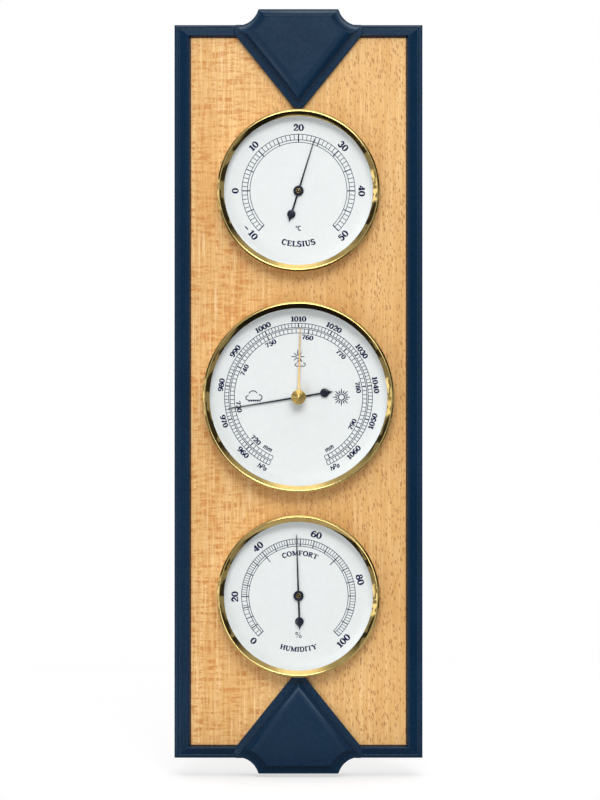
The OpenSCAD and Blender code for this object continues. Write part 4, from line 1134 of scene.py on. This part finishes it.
# Advance and strokes of each character
SERIF = {
    "0": (0.66, [ring(0.33, 0.5, 0.225, 0.4625)]),
    "1": (0.50, [stem(0.27), *serifs(FOOT, (0.05, 0.49)), line(0.04, 0.78, 0.22, 0.95, 0.09)]),
    "2": (0.64, [bow(0.31, 0.70, 0.20, 0.2625, 165, -38, THIN, THICK, THICK * 0.8),
                 ball(0.14, 0.715, 0.10), line(0.475, 0.545, 0.10, 0.12, THICK * 0.75, THIN),
                 line(0.06, 0.07, 0.58, 0.07), line(0.575, 0.03, 0.60, 0.25)]),
    "3": (0.63, [bow(0.29, 0.735, 0.185, 0.2275, 150, -88, THIN, THICK * 0.95),
                 ball(0.14, 0.79, 0.09), bow(0.29, 0.275, 0.225, 0.24, 88, -152),
                 ball(0.12, 0.20, 0.095)]),
    "4": (0.68, [line(0.08, 0.29, 0.47, 0.96), line(0.03, 0.28, 0.64, 0.28, THIN * 1.1),
                 stem(0.46), *serifs(FOOT, (0.29, 0.63))]),
    "5": (0.63, [line(0.15, 0.92, 0.55, 0.92, 0.15), line(0.165, 0.95, 0.14, 0.52),
                 bow(0.29, 0.33, 0.225, 0.295, 132, -150), ball(0.12, 0.18, 0.095)]),
    "6": (0.65, [ring(0.33, 0.30, 0.225, 0.2625),
                 bow(0.47, 0.42, 0.37, 0.545, 182, 88, THICK, THICK * 0.8, THIN),
                 ball(0.515, 0.86, 0.085)]),
    "7": (0.60, [line(0.06, 0.92, 0.57, 0.92, 0.15), line(0.075, 0.97, 0.06, 0.72),
                 line(0.535, 0.90, 0.31, 0.42, THIN * 1.1, THICK * 0.9),
                 line(0.31, 0.42, 0.25, 0, THICK * 0.9, THICK)]),
    "8": (0.64, [ring(0.32, 0.745, 0.17, 0.22, THICK * 0.85), ring(0.32, 0.27, 0.225, 0.2325)]),
    "-": (0.56, [line(0.02, 0.44, 0.54, 0.44, 0.17)]),
    " ": (0.30, []),
    "T": (0.76, [line(0.04, 0.95, 0.72, 0.95, 0.09), line(0.05, 0.98, 0.035, 0.73),
                 line(0.71, 0.98, 0.725, 0.73), line(0.38, 0, 0.38, 0.96, THICK),
                 *serifs(FOOT, (0.22, 0.54))]),
    "E": (0.71, [stem(0.2), *serifs(HEAD, (0.05, 0.63)), *serifs(FOOT, (0.05, 0.65)),
                 *serifs(0.51, (0.2, 0.47)), line(0.62, 0.98, 0.63, 0.75),
                 line(0.64, 0.02, 0.66, 0.26), line(0.46, 0.39, 0.46, 0.63)]),
    "M": (1.0, [stem(0.17, THIN), stem(0.82), line(0.19, 0.98, 0.49, 0.06, THICK * 0.95),
                line(0.49, 0.06, 0.80, 0.98), *serifs(FOOT, (0.04, 0.3), (0.66, 0.97)),
                *serifs(HEAD, (0.04, 0.22), (0.79, 0.97))]),
    "R": (0.78, [stem(0.2), *serifs(FOOT, (0.05, 0.36), (0.55, 0.77)),
                 *serifs(HEAD, (0.05, 0.38)), bow(0.38, 0.75, 0.185, 0.2125, 90, -90),
                 *serifs(0.5375, (0.2, 0.40)), line(0.40, 0.53, 0.62, 0.04, THICK * 0.9)]),
    "U": (0.80, [stem(0.2, foot=0.34), stem(0.62, THIN, 0.34),
                 bow(0.41, 0.34, 0.21, 0.3025, 180, 360, THICK, THICK * 0.75, THIN),
                 *serifs(HEAD, (0.05, 0.35), (0.5, 0.75))]),
    "H": (0.86, [stem(0.2), stem(0.66), *serifs(0.51, (0.2, 0.66)),
                 *serifs(FOOT, (0.05, 0.35), (0.51, 0.81)),
                 *serifs(HEAD, (0.05, 0.35), (0.51, 0.81))]),
    "I": (0.42, [stem(0.21), *serifs(FOOT, (0.05, 0.37)), *serifs(HEAD, (0.05, 0.37))]),
    "D": (0.80, [stem(0.2), *serifs(HEAD, (0.05, 0.36)), *serifs(FOOT, (0.05, 0.36)),
                 bow(0.36, 0.5, 0.30, 0.4625, 90, -90)]),
    "Y": (0.78, [line(0.39, 0, 0.39, 0.46, THICK), line(0.15, 0.98, 0.39, 0.42, THICK),
                 line(0.65, 0.98, 0.40, 0.42), *serifs(FOOT, (0.24, 0.54)),
                 *serifs(HEAD, (0.02, 0.28), (0.53, 0.77))]),
    "C": (0.74, [bow(0.40, 0.5, 0.28, 0.4625, 48, 312), line(0.63, 0.98, 0.65, 0.68),
                 line(0.60, 0.16, 0.66, 0.28)]),
    "O": (0.82, [ring(0.41, 0.5, 0.30, 0.4625)]),
    "L": (0.68, [stem(0.2), *serifs(HEAD, (0.05, 0.37)), *serifs(FOOT, (0.05, 0.62)),
                 line(0.61, 0.02, 0.64, 0.28)]),
    "S": (0.66, [bow(0.32, 0.735, 0.20, 0.2275, 40, 270, THIN, THICK, THICK * 0.8),
                 bow(0.32, 0.27, 0.225, 0.2325, 90, -145, THICK * 0.8, THICK, THIN),
                 line(0.52, 0.98, 0.53, 0.72), line(0.09, 0.02, 0.08, 0.28)]),
    "F": (0.68, [stem(0.2), *serifs(HEAD, (0.05, 0.62)), *serifs(FOOT, (0.05, 0.38)),
                 *serifs(0.49, (0.2, 0.47)), line(0.61, 0.98, 0.63, 0.73),
                 line(0.46, 0.38, 0.46, 0.60)]),
    "%": (0.92, [ring(0.22, 0.76, 0.13, 0.19, 0.10), ring(0.70, 0.24, 0.13, 0.19, 0.10),
                 line(0.72, 0.99, 0.20, 0.01, 0.07)]),
}
# a 9 is a 6 turned round
SERIF["9"] = (SERIF["6"][0], [
    ([(SERIF["6"][0] - x, 1 - y) for x, y in points], widths, closed)
    for points, widths, closed in SERIF["6"][1]
])

PLAIN_W = 0.10


def even(x0, y0, x1, y1):
    return line(x0, y0, x1, y1, PLAIN_W)


def arch(cx, cy, rx, ry, a0=180, a1=0):
    return bow(cx, cy, rx, ry, a0, a1, PLAIN_W, PLAIN_W)


# The units in plain strokes of one width, and a ring for degrees under the name *
PLAIN = {
    "h": (0.62, [even(0.08, 0, 0.08, 1), arch(0.28, 0.40, 0.20, 0.24), even(0.48, 0.40, 0.48, 0)]),
    "P": (0.66, [even(0.08, 0, 0.08, 1), even(0.08, 0.95, 0.34, 0.95),
                 arch(0.34, 0.71, 0.20, 0.24, 90, -90), even(0.34, 0.47, 0.08, 0.47)]),
    "a": (0.62, [ring(0.28, 0.30, 0.20, 0.26, PLAIN_W, PLAIN_W), even(0.48, 0.62, 0.48, 0)]),
    "m": (0.96, [even(0.08, 0, 0.08, 0.64), arch(0.25, 0.42, 0.17, 0.20),
                 even(0.42, 0.42, 0.42, 0), arch(0.59, 0.42, 0.17, 0.20),
                 even(0.76, 0.42, 0.76, 0)]),
    "C": (0.74, [bow(0.40, 0.5, 0.31, 0.44, 50, 310, 0.12, 0.15)]),
    "*": (0.44, [ring(0.2, 0.78, 0.13, 0.15, 0.09, 0.09)]),
}


def polar(r, angle):
    """The point at a distance from the dial's centre, clockwise from twelve o'clock."""
    a = math.radians(angle)
    return r * math.sin(a), r * math.cos(a)


def upright(angle):
    """How far a character at an angle is turned, so that it reads from outside low down."""
    return angle + 180 if abs((angle + 180) % 360 - 180) > 95 else angle


class Print:
    """Everything printed on one dial, as thin slabs of ink."""

    def __init__(self):
        self.shape = Shape()
        self.count = 0
        self.ink = look().dial.ink_height

    def stroke(self, points, widths, closed=False):
        # a tiny step in height keeps strokes that cross from sharing a plane
        self.count += 1
        lift = 0.0007 * (self.count % 9)
        made = ribbon(points, widths, DIAL_FRONT - 0.02, DIAL_FRONT + self.ink + lift, closed)
        self.shape.add(made.verts, made.faces)

    def curve(self, points, width, closed=False):
        self.stroke(points, [width] * len(points), closed)

    def circle(self, r, a0, a1):
        n = int((a1 - a0) / 2.5)
        points = [polar(r, a0 + (a1 - a0) * i / n) for i in range(n + 1)]
        self.curve(points, look().dial.fine_line)

    def tick(self, angle, r0, r1, width):
        self.curve([polar(r0, angle), polar(r1, angle)], width)

    def words(self, text, size, at, turn=0.0, font=SERIF, weight=1.0, slant=0.0):
        """A line of characters centred on a point, turned clockwise."""
        wide = WIDE if font is SERIF else 1.0
        c, s = math.cos(math.radians(turn)), math.sin(math.radians(turn))
        start = -sum(font[ch][0] for ch in text) * size * wide / 2
        for ch in text:
            advance, strokes = font[ch]
            for points, widths, closed in strokes:
                placed = []
                for x, y in points:
                    u, v = start + (x + slant * y) * size * wide, (y - 0.5) * size
                    placed.append((at[0] + u * c + v * s, at[1] - u * s + v * c))
                self.stroke(placed, [w * size * weight for w in widths], closed)
            start += advance * size * wide

    def curved(self, text, size, r, middle, inward, spread=1.0, weight=1.05):
        """Characters along a circle, with their feet to its centre, or their heads if inward."""
        spread = spread * WIDE * size
        u = -sum(SERIF[ch][0] for ch in text) * spread / 2
        for ch in text:
            width = SERIF[ch][0] * spread
            along = math.degrees((u + width / 2) / r)
            angle = middle - along if inward else middle + along
            self.words(ch, size, polar(r, angle), angle + 180 * inward, weight=weight)
            u += width

    def numeral(self, text, size, r, angle, weight):
        self.words(text, size, polar(r, angle), upright(angle), weight=weight)


def print_scale(p, low, high, angle_of, rings, marks, sparse=None):
    """A banded scale: circles, closing lines at both ends, and marks of several lengths.

    Below the value sparse only every second fine mark is printed."""
    a0, a1 = angle_of(low), angle_of(high)
    for r in rings:
        p.circle(r, a0, a1)
    for value in range(low, high + 1):
        if sparse is not None and value < sparse and value % 2 and value % 5:
            continue
        for step, r0, r1, width in marks:
            if value % step == 0:
                p.tick(angle_of(value), r0, r1, width)
                break
    for angle in (a0, a1):
        p.tick(angle, rings[-1], rings[0], look().dial.fine_line)


def thermometer_print():
    """Degrees Celsius from -10 to 50."""
    p = Print()
    bold, fine = look().dial.bold_line, look().dial.fine_line

    def angle_of(value):
        return (value - 20) * 4.5

    outer, mid, inner = 29.6, 26.7, 25.4
    print_scale(p, -10, 50, angle_of, (outer, mid, inner), (
        (10, inner, outer, bold), (5, inner, outer, fine * 1.5), (1, mid, outer, fine)))
    # the minus sign stands before its number, outside the scale's end
    p.numeral("- 10", 3.3, 33.1, angle_of(-10) + 4, 1.15)
    for value in range(0, 51, 10):
        p.numeral(str(value), 3.3, 33.1, angle_of(value), 1.15)
    p.words("*C", 2.6, (0, -19.6), font=PLAIN, weight=1.5)
    p.curved("CELSIUS", 2.9, 27.8, 180, True)
    return p.shape


def hygrometer_print():
    """Relative humidity from 0 to 100 percent, closer together at both ends."""
    p = Print()
    bold, fine = look().dial.bold_line * 0.8, look().dial.fine_line

    def angle_of(value):
        f = value / 100
        return -135 + 270 * (0.74 * f + 0.42 * f ** 2 - 0.16 * f ** 3)

    outer, mid, inner = 29.8, 27.1, 26.0
    print_scale(p, 0, 100, angle_of, (outer, mid, inner), (
        (10, inner, outer, bold), (5, inner, outer, fine * 1.5), (1, mid, outer, fine * 0.85)),
        sparse=20)
    for value in (40, 70):
        p.tick(angle_of(value), 23.0, inner, bold)
    for value in range(0, 101, 20):
        p.numeral(str(value), 3.3, 33.3, angle_of(value), 1.15)
    p.curved("COMFORT", 2.6, 22.4, angle_of(55), False)
    p.words("%", 3.0, (0, -20.5), weight=1.1)
    p.curved("HUMIDITY", 2.6, 28.0, 180, True, 0.97)
    return p.shape


def cloud(p, x, y, w, h, width):
    """The outline of a small cloud with a flat foot."""
    for cx, cy, rx, ry, a0, a1 in (
        (-0.30, 0.22, 0.21, 0.22, 262, 100),
        (-0.05, 0.46, 0.27, 0.42, 158, 28),
        (0.30, 0.26, 0.20, 0.26, 88, -88),
    ):
        p.curve(arc_points(x + cx * w, y + (cy - 0.5) * h, rx * w, ry * h, a0, a1, 16), width)
    p.curve([(x - 0.33 * w, y - 0.5 * h), (x + 0.31 * w, y - 0.5 * h)], width)


def sun(p, x, y, disc, r0, r1, rays, width, skip=()):
    """A disc's outline with long and short rays by turns."""
    p.curve(arc_points(x, y, disc, disc, 0, 360, 28)[:-1], width, True)
    for k in range(rays):
        if k in skip:
            continue
        c, s = math.cos(math.tau * k / rays), math.sin(math.tau * k / rays)
        reach = r1 if k % 2 == 0 else r1 - 0.35 * (r1 - r0)
        p.stroke(
            [(x + r0 * c, y + r0 * s), (x + reach * c, y + reach * s)], [width * 1.3, width * 0.6])


def barometer_print():
    """Hectopascals outside, millimetres of mercury inside, and three plain weather signs."""
    p = Print()
    bold, fine = look().dial.bold_line, look().dial.fine_line

    def hpa(value):
        return (value - 1010) * 2.7

    def mm_mercury(value):
        return 8.775 + (value - 760) * 3.6

    for low, high, angle_of, outer, inner in (
        (952, 1068, hpa, 38.7, 36.5), (714, 801, mm_mercury, 35.8, 33.6),
    ):
        print_scale(p, low, high, angle_of, (outer, inner), (
            (10, inner, outer, bold), (1, inner, outer, fine)))
    for value in range(960, 1061, 10):
        p.numeral(str(value), 2.65, 40.9, hpa(value), 1.25)
    for value in range(720, 791, 10):
        p.numeral(str(value), 2.35, 31.6, mm_mercury(value), 1.25)
    for text, r, angle in (("mm", 31.0, 149.0), ("hPa", 41.0, 152.5)):
        for side in (-1, 1):
            x, y = polar(r, angle)
            p.words(text, 2.6, (side * x, y), side * (angle - 180), PLAIN, 2.0, 0.2)
    # rain, changing, fair
    cloud(p, -23.3, 1.2, 8.4, 5.6, 0.5)
    for k in range(6):
        x = -26.2 + 1.15 * k
        p.curve([(x, -2.1), (x + 0.75, -2.1)], 0.5)
    sun(p, -0.4, 21.2, 1.0, 1.5, 3.6, 8, 0.46, skip=(6,))
    cloud(p, 0.9, 17.9, 5.4, 3.4, 0.44)
    sun(p, 22.5, 0.0, 1.6, 2.2, 4.5, 16, 0.56)
    return p.shape


class WEATHER_OT_dials(bpy.types.Operator):
    """Finish the three dials and print their scales"""

    bl_idname = "weather_station.dials"
    bl_label = "Dials"

    def execute(self, context):
        face, ink = dial_enamel(), dial_ink()
        for name, printed in (
            ("thermometer", thermometer_print), ("barometer", barometer_print),
            ("hygrometer", hygrometer_print),
        ):
            finish_node(name + "_dial", face)
            make_object(
                name + "_dial_print", printed(), centre_of(name + "_dial"), ink,
                smooth=False)
        return {"FINISHED"}


# ---------------------------------------------------------------- pointers, set hand, knob


def pointer_outline(tip, tail, hub, drop_r, hub_w, tip_w):
    """A tapered needle, a hub and a drop-shaped tail, at twelve o'clock, anticlockwise."""
    drop_y = -(tail - 2.0 * drop_r)
    start = math.degrees(math.asin(hub_w / 2 / hub))
    right = [
        (0.0, tip), (tip_w * 0.28, tip - 0.15), (tip_w / 2, tip - 0.5),
        (tip_w / 2 + 0.02, tip - 1.2)]
    right += arc_points(0, 0, hub, hub, 90 - start, -90 + start, 28)
    right.append((hub_w / 2, drop_y + drop_r * 0.98))
    right += arc_points(0, drop_y, drop_r, drop_r, 72, -52, 20)
    right += [
        (drop_r * x, drop_y - drop_r * y)
        for x, y in ((0.47, 0.93), (0.34, 1.10), (0.23, 1.30), (0.145, 1.53), (0.07, 1.78))
    ]
    right.append((0.0, drop_y - 2.0 * drop_r))
    return mirrored(right, -1)[::-1]


def turned_disc(r, z0, z1, round_r, bore):
    """A disc with a round front edge and a bore."""
    edge = [(r, z0)] + arc_points(r - round_r, z1 - round_r, round_r, round_r, 0, 90, 6)
    return [(bore, z0), *edge, (bore, z1)]


class WEATHER_OT_pointers(bpy.types.Operator):
    """Make the three black pointers and their brass caps"""

    bl_idname = "weather_station.pointers"
    bl_label = "Pointers"

    def execute(self, context):
        black, brass = pointer_enamel(), aged_brass()
        steps = 96
        # length of the tip and of the tail, radius of the drop, reading in degrees
        for name, tip, tail, drop_r, turn in (
            ("thermometer", 28.6, 17.2, 2.2, 17.1),
            ("hygrometer", 32.1, 17.9, 2.25, -2.0),
            ("barometer", 37.4, 18.4, 2.3, -99.36),
        ):
            body = name + "_needle"
            low, high = extent(name + "_pointer")
            centre = centre_of(name + "_dial")
            outline = pointer_outline(tip, tail, hub=2.7, drop_r=drop_r, hub_w=0.95, tip_w=0.36)
            back = low[2]
            shape = Shape()
            shape.merge(plate(outline, back, back + 0.45, look().dial.pointer_bevel, 2), turn)
            boss = turned_disc(r=2.25, z0=back + 0.4, z1=high[2], round_r=0.12, bore=0.66)
            shape.merge(lathe(boss, steps))
            make_object(
                name + "_pointer_stamped", shape, centre, black, [name + "_pointer"], body,
                sharp=30)
            if name != "barometer":
                low, high = extent(name + "_pointer_cap")
                r, z1, bead = half_width(name + "_pointer_cap"), high[2], 0.24
                cap = [(0, low[2]), (r, low[2])]
                cap += arc_points(r - bead, z1 - bead, bead, bead, 0, 180, 10)
                cap += [(r - 0.62, z1 - 0.34), (0.3, z1 - 0.3), (0.16, z1 - 0.12), (0, z1 - 0.08)]
                make_object(
                    name + "_cap_turned", lathe(cap, steps), centre, brass,
                    [name + "_pointer_cap"], body)
        return {"FINISHED"}


class WEATHER_OT_set_hand(bpy.types.Operator):
    """Make the brass set hand and its turned knob"""

    bl_idname = "weather_station.set_hand"
    bl_label = "Set hand and knob"

    def execute(self, context):
        centre = centre_of("barometer_dial")
        low, high = extent("set_hand")
        shaft_r, hub_r, hand_w, reading = 1.72, 3.0, 1.0, 1.4
        start = math.degrees(math.asin(hand_w / 2 / hub_r))
        right = [(0.0, 36.4), (0.16, 36.1), (0.26, 35.2)]
        right += arc_points(0, 0, hub_r, hub_r, 90 - start, -90, 40)
        hand = Shape()
        hand.merge(plate(mirrored(right, -1)[::-1], low[2], high[2], 0.08, 2), reading)
        made = make_object(
            "set_hand_stamped", hand, centre, drawn_brass(), ["set_hand"], "set_marker")
        cut_away(made, drill(shaft_r, 64), centre)
        finish_node("set_hand_washer", steel())
        low, high = extent("set_hand_knob")
        r, foot, top = half_width("set_hand_knob"), low[2], high[2]
        seat = extent("barometer_glass")[1][2] + 0.1
        rim = seat + 0.35 * (top - seat)
        knob = [
            (0, foot), (1.7, foot), (1.7, seat), (r - 0.45, seat), (r - 0.12, seat + 0.12),
            (r, seat + 0.45), (r, rim - 0.1), (r - 0.08, rim + 0.08), (r - 0.3, rim + 0.3),
            (r - 0.42, rim + 0.34), (r - 0.5, rim + 0.42), (0.62, top - 0.12), (0.5, top - 0.05),
            (0.35, top), (0, top),
        ]
        make_object(
            "set_hand_knob_turned", lathe(knob, 128), centre, turned_brass(), ["set_hand_knob"],
            "set_marker", sharp=28)
        return {"FINISHED"}


class WEATHER_OT_movements(bpy.types.Operator):
    """Finish the cases and everything inside them"""

    bl_idname = "weather_station.movements"
    bl_label = "Cases and movements"

    def execute(self, context):
        for material, nodes in (
            (moulded_black(), ["thermometer_case", "barometer_case", "hygrometer_case"]),
            (steel(), [
                "thermometer_arbor", "barometer_arbor", "hygrometer_arbor", "thermometer_coil",
                "thermometer_bridge_screws", "hygrometer_bridge_screws", "movement_plate_screws",
                "main_spring", "lever_arm", "rocking_shaft", "chain", "hairspring"]),
            (drawn_brass(), [
                "thermometer_bridge", "hygrometer_bridge", "thermometer_adjuster",
                "hygrometer_adjuster", "movement_plate", "spring_bracket", "rocker_bracket",
                "arbor_bridge", "arbor_cock", "adjusting_screw"]),
            (humidity_strip(), ["hygrometer_coil"]),
            (capsule_metal(), ["aneroid_capsule"]),
        ):
            for node in nodes:
                finish_node(node, material)
        return {"FINISHED"}


# ---------------------------------------------------------------- stage


def lamp(name, location, size, power, color=(1, 1, 1)):
    """A rectangular lamp that points at the middle of the station."""
    data = bpy.data.lights.new(name, "AREA")
    data.shape = "RECTANGLE"
    data.size, data.size_y = size
    data.energy = power
    data.color = color
    obj = bpy.data.objects.new(name, data)
    obj.location = location
    direction = Vector((0, 0, -0.16)) - Vector(location)
    obj.rotation_euler = direction.to_track_quat("-Z", "Y").to_euler()
    bpy.context.scene.collection.objects.link(obj)


def studio_world():
    """The room that brass and lacquer mirror. Seen itself, or through glass, it is white.

    It is light in front with a dark doorway, brighter above, dark below, patchy at the sides,
    and white behind the wall."""
    world = bpy.data.worlds.new("studio")
    bpy.context.scene.world = world
    world.use_nodes = True
    w = Nodes(world.node_tree)
    out = w.node("ShaderNodeOutputWorld")
    direction = w.node("ShaderNodeTexCoord").outputs["Generated"]
    right, back, up = w.node("ShaderNodeSeparateXYZ", {0: direction}).outputs[:3]
    ahead, aside = w.times(back, -1.0), w.size(right)

    def clumps(scale, low, high, shade):
        noise = w.node(
            "ShaderNodeTexNoise", {"Vector": direction, "Scale": scale, "Detail": 1.0})
        return w.ramp(noise.outputs["Fac"], low, high, shade, 1.0)

    room = w.times(w.ramp(ahead, 0.87, 0.955, 0.0, 1.1), w.ramp(ahead, 0.982, 0.994, 1.0, 0.10))
    ceiling = w.times(w.ramp(up, 0.45, 0.75, 0.0, 1.2), w.ramp(aside, 0.12, 0.42, 1.0, 0.35))
    lit = w.times(w.greater(room, ceiling), w.ramp(up, -0.42, -0.18))
    sides = w.times(w.ramp(aside, 0.50, 0.75, 0.0, 0.26), clumps(6.0, 0.488, 0.498, 0.08))
    # a window on the left, broken up by its bars and what stands before it
    pane = w.times(w.ramp(right, -0.86, -0.82, 1.25, 0.0), w.ramp(w.size(up), 0.16, 0.22, 1.0, 0.0))
    window = w.times(pane, clumps(14.0, 0.47, 0.50, 0.18))
    # a bright ring round the room that the bezels' crests mirror, open at the lower right
    halo = w.times(w.ramp(ahead, 0.47, 0.52, 0.0, 1.3), w.ramp(ahead, 0.59, 0.64, 1.0, 0.0))
    opening = w.times(w.ramp(right, 0.1, 0.4), w.ramp(up, -0.45, -0.3, 1.0, 0.0))
    halo = w.times(halo, w.minus(1.0, opening))
    sides = w.greater(sides, w.greater(window, halo))
    darkest = 0.012
    level = w.plus(w.greater(lit, sides), darkest)
    ray = w.node("ShaderNodeLightPath").outputs
    seen = w.greater(ray["Is Camera Ray"], ray["Is Transmission Ray"])
    for white in (w.ramp(back, 0.05, 0.4), seen):
        level = w.plus(w.times(level, w.minus(1.0, white)), white)
    light = w.node("ShaderNodeBackground", {"Color": (1, 1, 1), "Strength": level})
    w.give(out.inputs[0], light.outputs[0])


def floor_material():
    """Pale floor that the camera sees as white, apart from the object's shadow."""
    s = Shading("studio_floor")
    tone = tuple(look().studio.floor)
    s.set(color=s.mottle(s.noise(0.02, 3), tone, tuple(c * 0.985 for c in tone)),
          roughness=0.9, specular=0.1)
    camera_glow = s.times(s.node("ShaderNodeLightPath").outputs["Is Camera Ray"], 0.56)
    glow = s.node("ShaderNodeEmission", {"Color": (1, 1, 1), "Strength": camera_glow})
    s.finish_with(s.node("ShaderNodeAddShader", {0: s.bsdf.outputs[0], 1: glow.outputs[0]}))
    return s.material


FLOOR_SIDE = 1.0
FLOOR_NEAR = -0.09
FLOOR_GAP = 0.002
FLOOR_STEPS = 12
SENSOR = 36.0


class WEATHER_OT_stage(bpy.types.Operator):
    """Set up the floor, the lamps, the world and the camera"""

    bl_idname = "weather_station.stage"
    bl_label = "Stage"

    def execute(self, context):
        studio = look().studio
        scene = context.scene
        scene.view_settings.view_transform = "Standard"
        studio_world()

        # the floor lies just under the lowest keystone
        low = CAD_BOX[0][2] - FLOOR_GAP
        mesh = bpy.data.meshes.new("studio_floor")
        row = FLOOR_STEPS + 1
        mesh.from_pydata([
            (FLOOR_SIDE * (i / FLOOR_STEPS - 0.5), FLOOR_NEAR + FLOOR_SIDE * j / FLOOR_STEPS, low)
            for j in range(row) for i in range(row)
        ], [], [
            (j * row + i, j * row + i + 1, (j + 1) * row + i + 1, (j + 1) * row + i)
            for j in range(FLOOR_STEPS) for i in range(FLOOR_STEPS)
        ])
        mesh.materials.append(floor_material())
        floor = bpy.data.objects.new("studio_floor", mesh)
        scene.collection.objects.link(floor)

        lamp("key_lamp", (0.15, -1.45, 0.8), (1.2, 0.6), studio.key_power)
        lamp("front_lamp", (0.1, -1.8, 0.68), (0.8, 0.4), studio.front_power)
        lamp("low_lamp", (-0.6, -1.4, -0.8), (0.9, 0.7), studio.fill_power, (0.97, 0.98, 1))

        x, z = studio.view_centre
        data = bpy.data.cameras.new("camera")
        data.sensor_width = SENSOR
        data.lens = SENSOR * studio.distance / studio.frame_height
        data.clip_end = 60
        camera = bpy.data.objects.new("camera", data)
        camera.location = (x, -FRAME_HIGH[2] * MM - studio.distance, z)
        camera.rotation_euler = (math.pi / 2, 0, 0)
        scene.collection.objects.link(camera)
        scene.camera = camera
        return {"FINISHED"}


class WEATHER_PT_panel(bpy.types.Panel):
    """Lists the steps that make the weather station"""

    bl_label = "Weather station"
    bl_idname = "WEATHER_PT_panel"
    bl_space_type = "VIEW_3D"
    bl_region_type = "UI"
    bl_category = "Weather station"

    def draw(self, context):
        settings = context.scene.weather_station
        for title in ("Housing", "Dial", "Metal", "Studio"):
            group = getattr(settings, title.lower())
            box = self.layout.box()
            box.label(text=title)
            for key in group.bl_rna.properties.keys():
                if key not in ("rna_type", "name"):
                    box.prop(group, key)
        for operator in OPERATORS:
            self.layout.operator(operator.bl_idname)


GROUPS = (HousingLook, DialLook, MetalLook, StudioLook, WeatherStationLook)
OPERATORS = (
    WEATHER_OT_stage, WEATHER_OT_rails, WEATHER_OT_keystones, WEATHER_OT_board,
    WEATHER_OT_movements, WEATHER_OT_bezels, WEATHER_OT_dials, WEATHER_OT_pointers,
    WEATHER_OT_set_hand,
)
CLASSES = (*GROUPS, *OPERATORS, WEATHER_PT_panel)


def register():
    for cls in CLASSES:
        bpy.utils.register_class(cls)
    bpy.types.Scene.weather_station = PointerProperty(type=WeatherStationLook)


def unregister():
    del bpy.types.Scene.weather_station
    for cls in reversed(CLASSES):
        bpy.utils.unregister_class(cls)


def main():
    register()
    bpy.ops.weather_station.stage()
    bpy.ops.weather_station.rails()
    bpy.ops.weather_station.keystones()
    bpy.ops.weather_station.board()
    bpy.ops.weather_station.movements()
    bpy.ops.weather_station.bezels()
    bpy.ops.weather_station.dials()
    bpy.ops.weather_station.pointers()
    bpy.ops.weather_station.set_hand()


if __name__ == "__main__":
    main()
